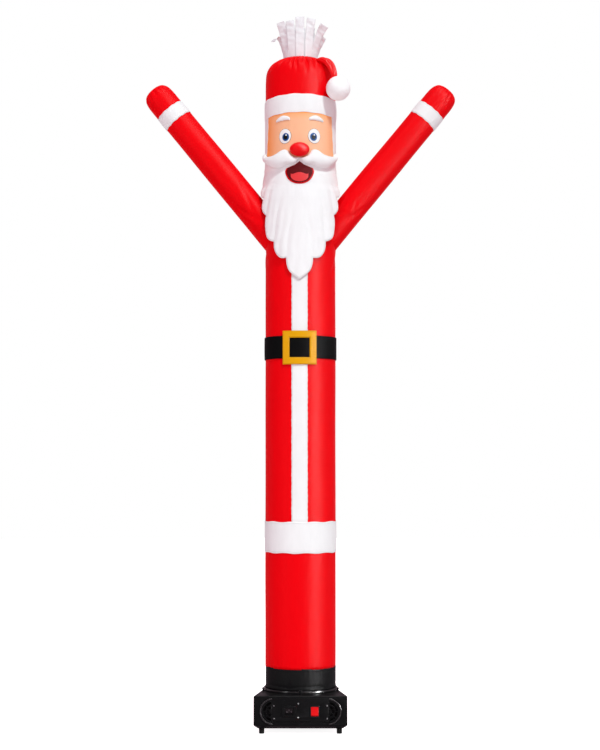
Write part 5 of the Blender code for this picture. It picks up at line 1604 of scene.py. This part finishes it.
def make_stage():
    """The floor, backdrop, lights and camera.

    The key light and the wide fill and back lights give light but no highlights. The others
    give highlights alone.
    """
    stage = settings().stage
    make_floor()
    make_world()
    key = aimed_light("key_light", "SUN", (1.35, -2.80, 4.60), MIDDLE)
    key.data.energy = stage.key
    key.data.angle = math.radians(5)
    key.data.color = stage.key_tone
    key.visible_glossy = False
    for name, place, target, width, height, spread, setting, share in AREA_LIGHTS:
        light = aimed_light(name, "AREA", place, target)
        light.data.shape = "RECTANGLE"
        light.data.size = width
        light.data.size_y = height
        light.data.spread = math.radians(spread)
        light.data.energy = share * getattr(stage, setting)
        light.visible_diffuse = setting == "fill"
        light.visible_glossy = setting != "fill"
    make_camera()
    bpy.context.scene.view_settings.view_transform = "Standard"


# Operators, panel and registration.

class AIRDANCER_OT_tube(bpy.types.Operator):
    """Make the inflated body tube and the cuff at its foot"""

    bl_idname = "airdancer.tube"
    bl_label = "Tube and cuff"
    bl_options = {"REGISTER", "UNDO"}

    def execute(self, context):
        make_body_tube()
        make_cuff()
        return {"FINISHED"}


class AIRDANCER_OT_arms(bpy.types.Operator):
    """Make the two arms with their white sleeve bands"""

    bl_idname = "airdancer.arms"
    bl_label = "Arms"
    bl_options = {"REGISTER", "UNDO"}

    def execute(self, context):
        for side, suffix in ((-1, "l"), (1, "r")):
            make_arm(side, suffix)
            make_sleeve_band(side, suffix)
        return {"FINISHED"}


class AIRDANCER_OT_coat(bpy.types.Operator):
    """Make the coat's hem band and placket"""

    bl_idname = "airdancer.coat"
    bl_label = "Coat trim"
    bl_options = {"REGISTER", "UNDO"}

    def execute(self, context):
        make_band("hem_band", HEM_BOTTOM, HEM_TOP, "white_band", waves=10, wave=1.2 * MM,
                  puff=0.3 * MM, seat=SEWN)
        make_placket()
        return {"FINISHED"}


class AIRDANCER_OT_belt(bpy.types.Operator):
    """Make the belt and its buckle"""

    bl_idname = "airdancer.belt"
    bl_label = "Belt and buckle"
    bl_options = {"REGISTER", "UNDO"}

    def execute(self, context):
        make_belt()
        make_buckle()
        return {"FINISHED"}


class AIRDANCER_OT_hat(bpy.types.Operator):
    """Make the hat: its band, gathered crown, folded tip and pompom"""

    bl_idname = "airdancer.hat"
    bl_label = "Hat"
    bl_options = {"REGISTER", "UNDO"}

    def execute(self, context):
        make_band("hat_band", HAT_BOTTOM, HAT_BAND_TOP - 2 * MM, "white", waves=13, wave=0.7 * MM,
                  puff=1.3 * MM, seat=HAT_BAND_SEAT, droop=HAT_DROOP)
        make_crown()
        make_tip()
        make_pompom()
        return {"FINISHED"}


class AIRDANCER_OT_streamers(bpy.types.Operator):
    """Make the streamers that stand in the vent"""

    bl_idname = "airdancer.streamers"
    bl_label = "Streamers"
    bl_options = {"REGISTER", "UNDO"}

    def execute(self, context):
        make_streamers()
        return {"FINISHED"}


class AIRDANCER_OT_beard(bpy.types.Operator):
    """Make the beard and the moustache"""

    bl_idname = "airdancer.beard"
    bl_label = "Beard and moustache"
    bl_options = {"REGISTER", "UNDO"}

    def execute(self, context):
        make_beard()
        make_moustache()
        return {"FINISHED"}


class AIRDANCER_OT_face(bpy.types.Operator):
    """Make the face panel, eyes, brows, nose and mouth"""

    bl_idname = "airdancer.face"
    bl_label = "Face"
    bl_options = {"REGISTER", "UNDO"}

    def execute(self, context):
        make_face_panel()
        for side, suffix in ((-1, "l"), (1, "r")):
            make_eye(side, suffix)
            make_brow(side, suffix)
        make_nose()
        make_mouth()
        return {"FINISHED"}


class AIRDANCER_OT_blower(bpy.types.Operator):
    """Finish the blower's box, rings, grilles, plate, switch and feet"""

    bl_idname = "airdancer.blower"
    bl_label = "Blower"
    bl_options = {"REGISTER", "UNDO"}

    def execute(self, context):
        make_blower()
        return {"FINISHED"}


class AIRDANCER_OT_stage(bpy.types.Operator):
    """Set up the floor, the light and the camera"""

    bl_idname = "airdancer.stage"
    bl_label = "Stage"
    bl_options = {"REGISTER", "UNDO"}

    def execute(self, context):
        make_stage()
        return {"FINISHED"}


STEPS = (AIRDANCER_OT_stage, AIRDANCER_OT_tube, AIRDANCER_OT_arms, AIRDANCER_OT_coat,
         AIRDANCER_OT_belt, AIRDANCER_OT_hat, AIRDANCER_OT_streamers, AIRDANCER_OT_beard,
         AIRDANCER_OT_face, AIRDANCER_OT_blower)


class AIRDANCER_PT_panel(bpy.types.Panel):
    """Lists the air dancer's pieces and settings"""

    bl_idname = "AIRDANCER_PT_panel"
    bl_label = "Air dancer"
    bl_space_type = "VIEW_3D"
    bl_region_type = "UI"
    bl_category = "Air dancer"

    def draw(self, context):
        layout = self.layout
        dancer = context.scene.air_dancer
        for group in (dancer.sizes, dancer.colours, dancer.blower, dancer.stage):
            box = layout.box()
            for name in group.bl_rna.properties.keys():
                if name not in {"rna_type", "name"}:
                    box.prop(group, name)
        for step in STEPS:
            layout.operator(step.bl_idname)


CLASSES = (AirDancerSizes, AirDancerColours, AirDancerBlower, AirDancerStage, AirDancerSettings,
           *STEPS, AIRDANCER_PT_panel)


def register():
    """Adds the classes and the scene's settings."""
    for cls in CLASSES:
        bpy.utils.register_class(cls)
    bpy.types.Scene.air_dancer = PointerProperty(type=AirDancerSettings)


def unregister():
    """Takes the classes and the settings away again."""
    del bpy.types.Scene.air_dancer
    for cls in reversed(CLASSES):
        bpy.utils.unregister_class(cls)


def main():
    """Makes every piece and the stage."""
    register()
    for step in STEPS:
        group, name = step.bl_idname.split(".")
        getattr(getattr(bpy.ops, group), name)()


if __name__ == "__main__":
    main()
